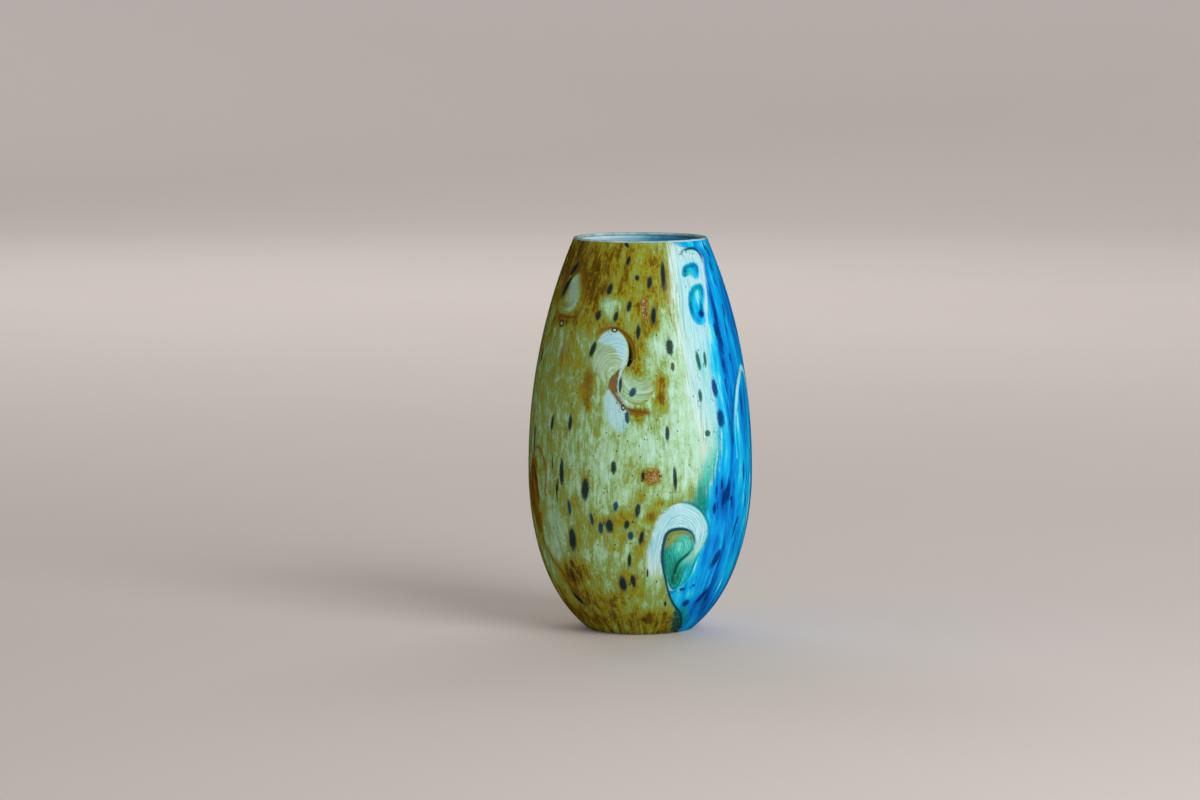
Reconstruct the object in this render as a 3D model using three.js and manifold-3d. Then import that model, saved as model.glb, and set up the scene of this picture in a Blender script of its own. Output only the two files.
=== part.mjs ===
// A hand-blown art glass vase, built the way it is made: a pale opal lining is blown first, a clear
// gather over it gives the heavy base, coats of coloured glass are rolled on, swirls are trailed and
// chips of frit pressed into them, the foot is ground flat and the lip is fire-polished. In the real
// vase the glass is fused. Here every gather, coat, trail and chip is a solid of its own, a hair's
// breadth from its neighbours.
//
// Millimetres, +Z up. The origin is the centre of the ground foot, on the surface the vase stands on.
// Azimuths are in degrees about +Z: 0 is the front, which faces -Y, and they grow towards +X.
// An outline on the wall is a list of [azimuth, height] points.

import * as THREE from "three";
import { mergeVertices } from "three/addons/utils/BufferGeometryUtils.js";
import Module from "manifold-3d";

const wasm = await Module();
wasm.setup();

const { Vector2, Vector3, MathUtils } = THREE;

// ---- Driving dimensions ----

const HEIGHT = 390;
const FOOT_RADIUS = 51.5;
const BELLY_RADIUS = 111;
const BELLY_HEIGHT = 155;
const RIM_RADIUS = 65.5;

// How the silhouette leaves the foot, passes the belly and runs into the rim.
const FOOT_SWEEP = new Vector2(56.5, 43);
const BELLY_SWEEP_DOWN = 21;
const BELLY_SWEEP_UP = 34;
const RIM_SWEEP = new Vector2(44.5, -101.5);

// Thicknesses, from the outside in. The core also fills the base, down to the foot.
const GAP = 0.3;
const COAT = 0.8;
const CORE = 1.3;
const LINING = 1;
const CORE_FLOOR = 9;
const LINING_FLOOR = 2;

const LIP_HEIGHT = 2.8;
const COAT_BOTTOM = 0.6; // grinding the foot takes the coats off below this
const RECESS_RADIUS = 34; // the polished hollow where the punty was broken off
const RECESS_DEPTH = 2;
const CORNER_RUN = 9; // the rounded corner between cavity floor and wall
const CORNER_RISE = 6;

const SEGMENTS = 36;
const LOWER_STEPS = 6;
const UPPER_STEPS = 6;
const LOWER_CROWDING = 1.3; // over 1, the rows crowd towards the foot, where the wall curves most
const CORNER_STEPS = 3;
const RECESS_STEPS = 4;
const LIP_STEPS = 8;
const ROW_HEIGHT = 15; // of the rows that the wandering edges are drawn through
const WEDGE_COLUMNS = 16;
const CHIP_SIDES = 8;
const TRAIL_END = 0.35; // how wide a trail still is where its pointed end begins
const MERGE_DISTANCE = 1e-4;

// ---- Layers, as depths under the outer wall and heights of their floors ----

const LAYER_TOP = HEIGHT - LIP_HEIGHT - GAP;
const CORE_DEPTH = COAT + GAP;
const LINING_DEPTH = CORE_DEPTH + CORE + GAP;
const WALL_THICKNESS = LINING_DEPTH + LINING;
const LINING_UNDERSIDE = CORE_FLOOR + GAP;
const CAVITY_FLOOR = LINING_UNDERSIDE + LINING_FLOOR;

// ---- Materials ----

const glass = (color, options = {}) =>
  new THREE.MeshStandardMaterial({ color, roughness: 0.12, metalness: 0, ...options });

const GLASS = {
  clear: glass(0xdfeef0, { transparent: true, opacity: 0.35 }),
  lining: glass(0x8fc9e4),
  amber: glass(0x9a8a2c),
  pale: glass(0xcfe6dc),
  blue: glass(0x0e86c8),
  mint: glass(0xb4d2b0),
  teal: glass(0x1f7a5c),
  brown: glass(0x6a3c10),
  copper: glass(0xa8805a, { roughness: 0.3 }),
  navy: glass(0x0b3c74),
  frit: glass(0x14414c),
};

// ---- The wall ----

const lowerWall = new THREE.CubicBezierCurve(
  new Vector2(FOOT_RADIUS, 0),
  new Vector2(FOOT_RADIUS + FOOT_SWEEP.x, FOOT_SWEEP.y),
  new Vector2(BELLY_RADIUS, BELLY_HEIGHT - BELLY_SWEEP_DOWN),
  new Vector2(BELLY_RADIUS, BELLY_HEIGHT),
);
const upperWall = new THREE.CubicBezierCurve(
  new Vector2(BELLY_RADIUS, BELLY_HEIGHT),
  new Vector2(BELLY_RADIUS, BELLY_HEIGHT + BELLY_SWEEP_UP),
  new Vector2(RIM_RADIUS + RIM_SWEEP.x, HEIGHT + RIM_SWEEP.y),
  new Vector2(RIM_RADIUS, HEIGHT),
);

const CURVE_SAMPLES = 160;
const wallStations = [lowerWall, upperWall].flatMap((curve) =>
  Array.from({ length: CURVE_SAMPLES + 1 }, (_, i) => {
    const tangent = curve.getTangent(i / CURVE_SAMPLES);
    const outward = new Vector2(tangent.y, -tangent.x);
    return { point: curve.getPoint(i / CURVE_SAMPLES), outward };
  }),
);

// The radius, at height z, of the surface that lies `depth` under the outer wall.
function wallRadius(depth, z) {
  const offset = ({ point, outward }) => point.clone().addScaledVector(outward, -depth);
  const above = Math.max(1, wallStations.findIndex((s) => offset(s).y >= z));
  const low = offset(wallStations[above - 1]);
  const high = offset(wallStations[above]);
  return MathUtils.mapLinear(z, low.y, high.y, low.x, high.x);
}

// Points up the wall from above `bottom` to the lip.
function wallPoints(depth, bottom) {
  const rows = (count, low, high, crowding = 1) =>
    Array.from({ length: count }, (_, i) =>
      MathUtils.lerp(low, high, ((i + 1) / count) ** crowding),
    );
  const lower = rows(LOWER_STEPS, bottom, BELLY_HEIGHT, LOWER_CROWDING);
  const upper = rows(UPPER_STEPS, BELLY_HEIGHT, LAYER_TOP);
  return [...lower, ...upper].map((z) => new Vector2(wallRadius(depth, z), z));
}

// A bowl `depth` under the outer wall: out over its floor from the axis, then up to the lip.
function bowlProfile(depth, floor) {
  const corner = wallRadius(depth, floor);
  const bendTop = floor + CORNER_RISE;
  const bend = new THREE.QuadraticBezierCurve(
    new Vector2(corner - CORNER_RUN, floor),
    new Vector2(corner, floor),
    new Vector2(wallRadius(depth, bendTop), bendTop),
  );
  return [new Vector2(0, floor), ...bend.getPoints(CORNER_STEPS), ...wallPoints(depth, bendTop)];
}

// A solid of revolution about +Z. The profile runs up the outside and down the inside.
function revolve(profile) {
  return new THREE.LatheGeometry(profile, SEGMENTS).rotateX(Math.PI / 2);
}

// ---- Whole gathers: core, lining and lip ----

function coreGeometry() {
  const recess = new THREE.QuadraticBezierCurve(
    new Vector2(0, RECESS_DEPTH),
    new Vector2(RECESS_RADIUS / 2, RECESS_DEPTH),
    new Vector2(RECESS_RADIUS, 0),
  );
  return revolve([
    ...recess.getPoints(RECESS_STEPS),
    new Vector2(wallRadius(CORE_DEPTH, 0), 0),
    ...wallPoints(CORE_DEPTH, 0),
    ...bowlProfile(CORE_DEPTH + CORE, CORE_FLOOR).reverse(),
  ]);
}

function liningGeometry() {
  return revolve([
    ...bowlProfile(LINING_DEPTH, LINING_UNDERSIDE),
    ...bowlProfile(WALL_THICKNESS, CAVITY_FLOOR).reverse(),
  ]);
}

function lipGeometry() {
  const bottom = HEIGHT - LIP_HEIGHT;
  const outerRadius = wallRadius(0, bottom);
  const innerRadius = wallRadius(WALL_THICKNESS, bottom);
  const middle = (outerRadius + innerRadius) / 2;
  const round = new THREE.EllipseCurve(middle, bottom, outerRadius - middle, LIP_HEIGHT, 0, Math.PI);
  const section = round.getPoints(LIP_STEPS);
  return revolve([...section, section[0]]);
}

// ---- Solids that are cut and joined ----

function solidFrom(geometry) {
  const bare = geometry.clone();
  bare.deleteAttribute("normal");
  bare.deleteAttribute("uv");
  const merged = mergeVertices(bare, MERGE_DISTANCE);
  const vertProperties = new Float32Array(merged.attributes.position.array);
  const triVerts = new Uint32Array(merged.index.array);
  return new wasm.Manifold(new wasm.Mesh({ numProp: 3, vertProperties, triVerts }));
}

function geometryFrom(solid) {
  const { vertProperties, triVerts } = solid.getMesh();
  const geometry = new THREE.BufferGeometry();
  geometry.setAttribute("position", new THREE.BufferAttribute(vertProperties, 3));
  geometry.setIndex(new THREE.BufferAttribute(triVerts, 1));
  geometry.computeVertexNormals();
  return geometry;
}

// The whole colour layer, which the coats and everything set into them share out.
function coatShell() {
  const skin = (depth) => [
    new Vector2(wallRadius(depth, COAT_BOTTOM), COAT_BOTTOM),
    ...wallPoints(depth, COAT_BOTTOM),
  ];
  const outer = skin(0);
  return solidFrom(revolve([...outer, ...skin(COAT).reverse(), outer[0]]));
}

// The azimuth of a wandering edge at height z, eased between its [azimuth, height] points.
function azimuthAt(edge, z) {
  const next = edge.findIndex(([, height]) => height > z);
  if (next === 0) return edge[0][0];
  if (next < 0) return edge.at(-1)[0];
  const [[fromAzimuth, fromHeight], [toAzimuth, toHeight]] = [edge[next - 1], edge[next]];
  return MathUtils.lerp(fromAzimuth, toAzimuth, MathUtils.smoothstep(z, fromHeight, toHeight));
}

// A wedge from the axis past the wall, between two azimuths that change with height. `bottom` is
// a whole number of rows up, so that neighbours share their rows.
function sectorWedge(startEdge, endEdge, bottom) {
  const rows = Math.round((HEIGHT - bottom) / ROW_HEIGHT);
  const columns = WEDGE_COLUMNS;
  const reach = 1.4 * BELLY_RADIUS; // clear of the wall even halfway between two columns
  const stride = columns + 2;
  const positions = [];
  for (let row = 0; row <= rows; row++) {
    const z = bottom + row * ROW_HEIGHT;
    positions.push(0, 0, z);
    for (let column = 0; column <= columns; column++) {
      const degrees = MathUtils.lerp(startEdge(z), endEdge(z), column / columns);
      const azimuth = MathUtils.degToRad(degrees);
      positions.push(reach * Math.sin(azimuth), -reach * Math.cos(azimuth), z);
    }
  }
  const index = [];
  const axis = (row) => row * stride;
  const arc = (row, column) => row * stride + 1 + column;
  const quad = (a, b, c, d) => index.push(a, b, c, a, c, d);
  for (let row = 0; row < rows; row++) {
    const over = row + 1;
    for (let column = 0; column < columns; column++) {
      const beside = column + 1;
      quad(arc(row, column), arc(row, beside), arc(over, beside), arc(over, column));
    }
    quad(axis(row), arc(row, 0), arc(over, 0), axis(over));
    quad(axis(row), axis(over), arc(over, columns), arc(row, columns));
  }
  for (let column = 0; column < columns; column++) {
    index.push(axis(0), arc(0, column + 1), arc(0, column));
    index.push(axis(rows), arc(rows, column), arc(rows, column + 1));
  }
  const geometry = new THREE.BufferGeometry();
  geometry.setAttribute("position", new THREE.Float32BufferAttribute(positions, 3));
  geometry.setIndex(index);
  return solidFrom(geometry);
}

// ---- Colour coats: the wall's colours, side by side round the vase ----

const EDGE_GAP = 0.3; // degrees

const AMBER_TO_PALE = [[34, 150], [31, 195], [27, 250], [25, 300], [24, 340], [24, 390]];
const PALE_TO_BLUE = [
  [48, 0], [30, 32], [31, 60], [33, 90], [33, 132], [36, 155], [43, 200], [42, 260], [41, 300],
  [45, 342], [54, 368], [66, 390],
];
const BLUE_TO_BACK_PALE = [[168, 0], [160, 60], [152, 150], [156, 230], [148, 310], [140, 390]];
const BACK_PALE_TO_AMBER = [[176, 0], [172, 60], [168, 150], [166, 230], [170, 310], [164, 390]];
const PALE_TIP = 10 * ROW_HEIGHT; // the front pale band runs down to a tip here

const amberEnd = (z) => azimuthAt(z < PALE_TIP ? PALE_TO_BLUE : AMBER_TO_PALE, z) - EDGE_GAP / 2;
const blueStart = (z) => azimuthAt(PALE_TO_BLUE, z) + EDGE_GAP / 2;
const blueEnd = (z) => azimuthAt(BLUE_TO_BACK_PALE, z) - EDGE_GAP / 2;
const backPaleStart = (z) => azimuthAt(BLUE_TO_BACK_PALE, z) + EDGE_GAP / 2;
const backPaleEnd = (z) => azimuthAt(BACK_PALE_TO_AMBER, z) - EDGE_GAP / 2;
const amberStart = (z) => azimuthAt(BACK_PALE_TO_AMBER, z) + EDGE_GAP / 2 - 360;
const paleStart = (z) => azimuthAt(AMBER_TO_PALE, z) + EDGE_GAP / 2;
const paleEnd = (z) => azimuthAt(PALE_TO_BLUE, z) - EDGE_GAP / 2;

const shell = coatShell();
const coats = [];

function addCoat(name, material, startEdge, endEdge, bottom = 0) {
  const solid = shell.intersect(sectorWedge(startEdge, endEdge, bottom));
  coats.push({ name, material, solid });
}

addCoat("amber_coat", GLASS.amber, amberStart, amberEnd);
addCoat("pale_band", GLASS.pale, paleStart, paleEnd, PALE_TIP);
addCoat("blue_coat", GLASS.blue, blueStart, blueEnd);
addCoat("back_pale_band", GLASS.pale, backPaleStart, backPaleEnd);

// ---- Trails, patches and chips set into the coats ----

// Moves a closed outline outwards by `distance`, or inwards where it is negative.
function growOutline(points, distance) {
  const turn = Math.sign(THREE.ShapeUtils.area(points));
  return points.map((point, i) => {
    const before = points.at(i - 1);
    const after = points[(i + 1) % points.length];
    const along = after.clone().sub(before).normalize();
    const outward = new Vector2(along.y, -along.x).multiplyScalar(turn);
    return point.clone().addScaledVector(outward, distance);
  });
}

// A prism that pierces the wall along the radius at an azimuth and a height.
function piercingPrism(azimuth, height, outline) {
  const angle = MathUtils.degToRad(azimuth);
  const tangent = new Vector3(Math.cos(angle), Math.sin(angle), 0);
  const up = new Vector3(0, 0, 1);
  const radial = new Vector3(Math.sin(angle), -Math.cos(angle), 0);
  const start = radial.clone().multiplyScalar(wallRadius(0, height) / 2);
  start.z = height;
  const place = new THREE.Matrix4().makeBasis(tangent, up, radial).setPosition(start);
  const prism = new THREE.ExtrudeGeometry(new THREE.Shape(outline), {
    depth: BELLY_RADIUS,
    bevelEnabled: false,
  });
  return solidFrom(prism.applyMatrix4(place));
}

// Sets a piece of glass into the coats, with its own pocket in whichever of them it crosses.
// `outlineGrownBy` gives the piece's outline, grown or shrunk by a distance.
function inlay(name, material, { azimuth, height }, outlineGrownBy) {
  const pocket = piercingPrism(azimuth, height, outlineGrownBy(GAP / 2));
  const plug = piercingPrism(azimuth, height, outlineGrownBy(-GAP / 2));
  coats.forEach((coat) => {
    coat.solid = coat.solid.subtract(pocket);
  });
  coats.push({ name, material, solid: shell.intersect(plug) });
}

// The middle of a path on the wall, and the path laid flat round it in millimetres.
function unroll(path) {
  const azimuth = path.reduce((sum, [a]) => sum + a, 0) / path.length;
  const height = path.reduce((sum, [, z]) => sum + z, 0) / path.length;
  const flat = path.map(([a, z]) => {
    const across = wallRadius(0, z) * Math.sin(MathUtils.degToRad(a - azimuth));
    return new Vector3(across, z - height, 0);
  });
  return { azimuth, height, flat };
}

// A smooth blob whose edge runs through a few points on the wall.
function addBlob(name, material, path, steps = 20) {
  const { flat, ...middle } = unroll(path);
  const curve = new THREE.CatmullRomCurve3(flat, true, "centripetal");
  const edge = curve.getSpacedPoints(steps).slice(0, -1).map(({ x, y }) => new Vector2(x, y));
  inlay(name, material, middle, (growth) => growOutline(edge, growth));
}

// A trail of glass along a path on the wall: full width in its middle, tapering to pointed ends.
function addTrail(name, material, width, path, steps = 12) {
  const { flat, ...middle } = unroll(path);
  const curve = new THREE.CatmullRomCurve3(flat, false, "centripetal");
  inlay(name, material, middle, (growth) => {
    const leftSide = [];
    const rightSide = [];
    for (let i = 0; i <= steps; i++) {
      const { x, y } = curve.getPointAt(i / steps);
      const along = curve.getTangentAt(i / steps);
      const fullness = TRAIL_END + (1 - TRAIL_END) * Math.sin((Math.PI * i) / steps);
      const reach = (width * fullness) / 2 + growth;
      leftSide.push(new Vector2(x - along.y * reach, y + along.x * reach));
      rightSide.unshift(new Vector2(x + along.y * reach, y - along.x * reach));
    }
    const tipReach = width * TRAIL_END + growth;
    const tip = (u, direction) => {
      const { x, y } = curve.getPointAt(u);
      const along = curve.getTangentAt(u).multiplyScalar(direction * tipReach);
      return new Vector2(x + along.x, y + along.y);
    };
    return [tip(0, -1), ...leftSide, tip(1, 1), ...rightSide];
  });
}

// An oval chip, `tilt` degrees clockwise from upright.
function addChip(name, material, { width, length, tilt = 0, ...middle }) {
  const angle = MathUtils.degToRad(-tilt);
  inlay(name, material, middle, (growth) => {
    const [across, along] = [width / 2 + growth, length / 2 + growth];
    const oval = new THREE.EllipseCurve(0, 0, across, along, 0, 2 * Math.PI, false, angle);
    return oval.getPoints(CHIP_SIDES).slice(0, -1);
  });
}

// The big hook of opal low on the front, and the green heart that it curls round.
addTrail("hook_swirl", GLASS.mint, 13, [
  [10.5, 58], [8, 80], [10.5, 108], [20.5, 127], [30, 119], [33.3, 102], [32, 78],
], 16);
addBlob("hook_swirl_heart", GLASS.teal, [
  [21, 111], [17, 99], [16, 82], [17.5, 64], [21, 54], [25, 66], [28, 82], [27, 99],
]);

// The S on the upper front: two opposed curls, and the dark vein along the upper one.
addBlob("s_swirl_dome", GLASS.mint, [
  [-18, 253], [-23.5, 260], [-26.5, 273], [-25.5, 289], [-18, 302], [-11.5, 299], [-8.5, 289],
  [-8.5, 277], [-11, 268], [-14.5, 260],
], 22);
addTrail("s_swirl_vein", GLASS.brown, 4, [
  [-11, 305], [-6.5, 299], [-5, 287], [-4.8, 273], [-9, 257],
]);
addTrail("s_swirl_lobe", GLASS.pale, 8, [
  [-14.5, 242], [-9, 237], [-2, 239], [2.5, 247], [0, 256],
]);

// Smaller curls round the shoulder and the belly.
addBlob("left_shoulder_swirl", GLASS.mint, [
  [-57, 317], [-60.5, 332], [-60, 350], [-51, 363], [-43, 355], [-41, 340], [-46, 326],
]);
addTrail("left_belly_swirl", GLASS.brown, 6, [
  [-75.5, 112], [-76, 142], [-73, 166], [-66.5, 177], [-61, 166], [-59, 142], [-60.5, 112],
], 16);
addBlob("shoulder_pocket_upper", GLASS.blue, [
  [31, 355], [30, 363], [34, 371], [41, 371], [44, 364], [42, 356], [36, 352],
]);
addBlob("shoulder_pocket_lower", GLASS.navy, [
  [32, 316], [30, 326], [32, 337], [36, 339], [39, 330], [38, 318], [35, 313],
]);
addTrail("right_belly_hook", GLASS.pale, 9, [
  [61, 194], [62, 224], [66, 248], [73, 257], [79, 246], [79.5, 222], [78.5, 194],
], 16);

// The same kind of trails round the back.
addTrail("back_amber_swirl", GLASS.mint, 11, [
  [-125, 142], [-128, 172], [-124, 194], [-116, 203], [-108, 192], [-105.5, 172], [-108, 150],
], 16);
addTrail("back_blue_swirl", GLASS.pale, 10, [
  [109, 232], [107, 256], [110, 276], [117, 284], [125, 275], [127.5, 256], [126, 236],
], 16);

// Clusters of crushed frit.
addBlob("brown_frit_patch", GLASS.brown, [
  [0.5, 160], [0, 167], [4, 172], [9, 170], [10.5, 163], [6, 156],
], 12);
addBlob("copper_frit_patch", GLASS.copper, [
  [-0.5, 319], [-1, 330], [1.5, 340], [5, 338], [6, 327], [4, 316],
], 12);

// The larger chips of dark frit, all round the coats.
const CHIPS_TURN_NAVY = 45; // degrees: past this they lie on the blue
const CHIPS = [
  { azimuth: 7.5, height: 351, width: 4.6, length: 12, tilt: 8 },
  { azimuth: 15.6, height: 357, width: 4.2, length: 20, tilt: 4 },
  { azimuth: -21.4, height: 344, width: 5, length: 11, tilt: 12 },
  { azimuth: -29, height: 318, width: 5, length: 9, tilt: 6 },
  { azimuth: 16.5, height: 291, width: 6, length: 15, tilt: -4 },
  { azimuth: -36, height: 286, width: 4.4, length: 14, tilt: 16 },
  { azimuth: -39, height: 214, width: 4.6, length: 14, tilt: 4 },
  { azimuth: 13.5, height: 206, width: 4, length: 15, tilt: 3 },
  { azimuth: -44, height: 165, width: 5, length: 22, tilt: -3 },
  { azimuth: -14, height: 173, width: 5, length: 12, tilt: 0 },
  { azimuth: 17.5, height: 161, width: 4, length: 21, tilt: 3 },
  { azimuth: -29.5, height: 150, width: 7, length: 20, tilt: 0 },
  { azimuth: -2, height: 131, width: 5, length: 13, tilt: 0 },
  { azimuth: -16.4, height: 115, width: 7, length: 13, tilt: 0 },
  { azimuth: -39, height: 99, width: 8, length: 21, tilt: -4 },
  { azimuth: -10.9, height: 56, width: 7, length: 15, tilt: -6 },
  { azimuth: 50, height: 247, width: 5, length: 17, tilt: 0 },
  { azimuth: 48, height: 217, width: 8, length: 16, tilt: 4 },
  { azimuth: 50, height: 145, width: 7, length: 18, tilt: 8 },
  { azimuth: 47.5, height: 78, width: 8, length: 19, tilt: 28 },
  { azimuth: 96, height: 190, width: 8, length: 17, tilt: 10 },
  { azimuth: 128, height: 120, width: 7, length: 18, tilt: -6 },
  { azimuth: -95, height: 250, width: 6, length: 15, tilt: 5 },
  { azimuth: -150, height: 120, width: 7, length: 19, tilt: -4 },
];
CHIPS.forEach((chip, i) => {
  const number = String(i + 1).padStart(2, "0");
  const onBlue = chip.azimuth > CHIPS_TURN_NAVY;
  addChip(`frit_chip_${number}`, onBlue ? GLASS.navy : GLASS.frit, chip);
});

// ---- Assembly ----

const vase = new THREE.Group();
vase.name = "art_glass_vase";

function addMesh(parent, name, geometry, material) {
  const mesh = new THREE.Mesh(geometry, material.clone());
  mesh.name = name;
  parent.add(mesh);
}

addMesh(vase, "opal_lining", liningGeometry(), GLASS.lining);
addMesh(vase, "clear_core", coreGeometry(), GLASS.clear);
addMesh(vase, "rim_lip", lipGeometry(), GLASS.pale);

const colourLayer = new THREE.Group();
vase.add(colourLayer);
coats.forEach(({ name, material, solid }) => {
  addMesh(colourLayer, name, geometryFrom(solid), material);
});

export default vase;
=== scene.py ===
"""The looks of a tall hand-blown art glass vase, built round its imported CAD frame.

Patterns are laid out on the wall as places, each an azimuth and a height, and a width too for a trail.
Azimuths are degrees about +Z: 0 is the front, which faces -Y, and they grow towards +X. Heights and
widths are millimetres. Meshes are made in metres.
"""

import math

import bpy
import numpy as np
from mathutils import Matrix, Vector


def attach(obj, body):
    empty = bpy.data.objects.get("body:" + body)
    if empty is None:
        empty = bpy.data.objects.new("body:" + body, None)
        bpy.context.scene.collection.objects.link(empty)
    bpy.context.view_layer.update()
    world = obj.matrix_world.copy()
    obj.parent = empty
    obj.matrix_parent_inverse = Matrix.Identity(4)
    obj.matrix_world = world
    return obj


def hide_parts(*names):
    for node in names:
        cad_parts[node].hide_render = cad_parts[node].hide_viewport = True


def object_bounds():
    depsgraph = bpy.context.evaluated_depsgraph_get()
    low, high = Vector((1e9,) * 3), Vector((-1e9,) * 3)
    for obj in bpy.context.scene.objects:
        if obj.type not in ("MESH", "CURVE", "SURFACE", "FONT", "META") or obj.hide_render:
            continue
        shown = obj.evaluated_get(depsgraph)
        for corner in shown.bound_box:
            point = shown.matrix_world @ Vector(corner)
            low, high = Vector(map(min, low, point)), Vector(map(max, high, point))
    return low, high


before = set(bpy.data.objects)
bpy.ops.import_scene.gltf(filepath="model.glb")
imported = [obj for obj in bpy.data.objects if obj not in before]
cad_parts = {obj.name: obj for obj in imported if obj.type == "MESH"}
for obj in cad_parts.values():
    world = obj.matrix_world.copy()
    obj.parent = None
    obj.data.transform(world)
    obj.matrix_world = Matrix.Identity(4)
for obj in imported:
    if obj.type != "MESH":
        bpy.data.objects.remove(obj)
cad_low, cad_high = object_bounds()

MM = 0.001

# ---- Form of the vase, in millimetres ----

HEIGHT = cad_high.z / MM
BELLY_RADIUS = cad_high.x / MM
BELLY_HEIGHT = 155
FOOT_RADIUS = 51.5
RIM_RADIUS = 65.5
FOOT_SWEEP = (56.5, 43)
BELLY_SWEEP_DOWN = 21
BELLY_SWEEP_UP = 34
RIM_SWEEP = (44.5, -101.5)

COAT = 0.8
CORE_DEPTH = 1.1
LINING_DEPTH = 2.7
WALL = 3.7
SKIN_BOTTOM = 0.6
SKIN_TOP = HEIGHT - 1.6
CAVITY_FLOOR = 11.3
CORE_FLOOR = 9.0
RECESS_RADIUS = 34
RECESS_DEPTH = 2

COLUMNS = 288
ROWS = 206
FAR = 60.0  # stands for a distance too great to matter
TINY = 1e-9  # square millimetres: a step with less to it has no direction


def bezier(start, out_of_start, into_end, end, steps=200):
    t = np.linspace(0, 1, steps + 1)[:, None]
    points = [np.array(p, float) for p in (start, out_of_start, into_end, end)]
    weights = [(1 - t) ** 3, 3 * (1 - t) ** 2 * t, 3 * (1 - t) * t**2, t**3]
    return sum(w * p for w, p in zip(weights, points))


lower_wall = bezier(
    (FOOT_RADIUS, 0),
    (FOOT_RADIUS + FOOT_SWEEP[0], FOOT_SWEEP[1]),
    (BELLY_RADIUS, BELLY_HEIGHT - BELLY_SWEEP_DOWN),
    (BELLY_RADIUS, BELLY_HEIGHT),
)
upper_wall = bezier(
    (BELLY_RADIUS, BELLY_HEIGHT),
    (BELLY_RADIUS, BELLY_HEIGHT + BELLY_SWEEP_UP),
    (RIM_RADIUS + RIM_SWEEP[0], HEIGHT + RIM_SWEEP[1]),
    (RIM_RADIUS, HEIGHT),
)
wall_line = np.vstack([lower_wall, upper_wall[1:]])
wall_run = np.concatenate([[0], np.cumsum(np.hypot(*np.diff(wall_line, axis=0).T))])
wall_turn = np.gradient(wall_line, axis=0)
wall_turn /= np.hypot(*wall_turn.T)[:, None]


def radius_at(height):
    return np.interp(height, wall_line[:, 1], wall_line[:, 0])


def run_at(height):
    """How far up along the wall a height is."""
    return np.interp(height, wall_line[:, 1], wall_run)


def outward_at(height):
    """The wall's outward direction, as (away from the axis, up)."""
    out = np.interp(height, wall_line[:, 1], wall_turn[:, 1])
    up = -np.interp(height, wall_line[:, 1], wall_turn[:, 0])
    return out, up


def turn_from(azimuth, about):
    """Degrees from one azimuth to another, the short way round."""
    return (azimuth - about + 180) % 360 - 180


def ease(low, high, x):
    t = np.clip((x - low) / (high - low), 0, 1)
    return t * t * (3 - 2 * t)


def bump(x, middle, reach):
    return np.exp(-(((x - middle) / reach) ** 2))


# ---- Outlines and trails on the wall ----


def across_from(about, azimuth, height):
    """Millimetres round the wall from an azimuth."""
    return np.radians(turn_from(azimuth, about)) * radius_at(height)


def away_from(about, middle, azimuth, height):
    """Millimetres round the wall and up it from a place."""
    return across_from(about, azimuth, height), run_at(height) - run_at(middle)


def on_wall(azimuth, height, about):
    """Places on the wall as flat millimetres round it and up it."""
    return np.stack([across_from(about, azimuth, height), run_at(height)], -1)


def smooth_path(points, closed, steps=6):
    """A Catmull-Rom curve through points that may hold more than two numbers each."""
    p = np.asarray(points, float)
    padded = np.vstack([p[-1:], p, p[:2]]) if closed else np.vstack([2 * p[0] - p[1], p, 2 * p[-1] - p[-2]])
    t = np.linspace(0, 1, steps, endpoint=False)[:, None]
    pieces = [
        0.5 * (2 * b + (c - a) * t + (2 * a - 5 * b + 4 * c - d) * t**2 + (3 * b - a - 3 * c + d) * t**3)
        for a, b, c, d in zip(padded, padded[1:], padded[2:], padded[3:])
    ]
    # A trail stops a step short of its last place and turns back along itself there.
    return np.vstack([*pieces, p[:1] if closed else p[-2:-1]])


class Shape:
    """A closed outline on the wall, or a trail, whose places each have a width as well."""

    def __init__(self, numbers, trail):
        p = np.reshape(numbers, (-1, 3 if trail else 2)).astype(float)
        self.trail = trail
        self.about = p[:, 0].mean()
        path = smooth_path(p, not self.trail)
        self.path = on_wall(path[:, 0], path[:, 1], self.about)
        self.width = path[:, 2] if self.trail else np.zeros(len(path))
        self.length = np.concatenate([[0], np.cumsum(np.hypot(*np.diff(self.path, axis=0).T))])

    def measure(self, azimuth, height, margin=26):
        """For places on the wall: the distance outside, the offset to the left of the line, how far
        along it is, and how far past its ends. Places further than the margin are FAR."""
        at = on_wall(azimuth, height, self.about)
        near = np.all((at > self.path.min(0) - margin) & (at < self.path.max(0) + margin), axis=1)
        p = at[near]
        nearest = np.zeros((5, len(p)))
        nearest[0] = np.inf
        inside = np.zeros(len(p), bool)
        last = len(self.path) - 2
        for i, (a, b) in enumerate(zip(self.path, self.path[1:])):
            edge = b - a
            size = edge @ edge
            if size < TINY:
                continue
            free = (p - a) @ edge / size
            t = np.clip(free, 0, 1)
            gap = p - a - t[:, None] * edge
            away = np.hypot(gap[:, 0], gap[:, 1])
            left = np.sign(edge[0] * gap[:, 1] - edge[1] * gap[:, 0])
            width = self.width[i] * (1 - t) + self.width[i + 1] * t
            past = np.maximum(-free, 0) * (i == 0) + np.maximum(free - 1, 0) * (i == last)
            found = np.stack([away, left, self.length[i] + t * math.sqrt(size), width, past * math.sqrt(size)])
            nearest = np.where(away < nearest[0], found, nearest)
            if not self.trail:
                crosses = (a[1] > p[:, 1]) != (b[1] > p[:, 1])
                with np.errstate(divide="ignore", invalid="ignore"):
                    reach = a[0] + (p[:, 1] - a[1]) / (b[1] - a[1]) * (b[0] - a[0])
                inside ^= crosses & (p[:, 0] < reach)
        away, left, along, width, past = nearest
        measures = np.full((4, len(at)), FAR)
        measures[2] = 0
        measures[:, near] = np.where(inside, -away, away) - width / 2, left * away, along, past
        return measures


def outline(*numbers):
    return Shape(numbers, False)


def trail(*numbers):
    return Shape(numbers, True)


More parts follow.
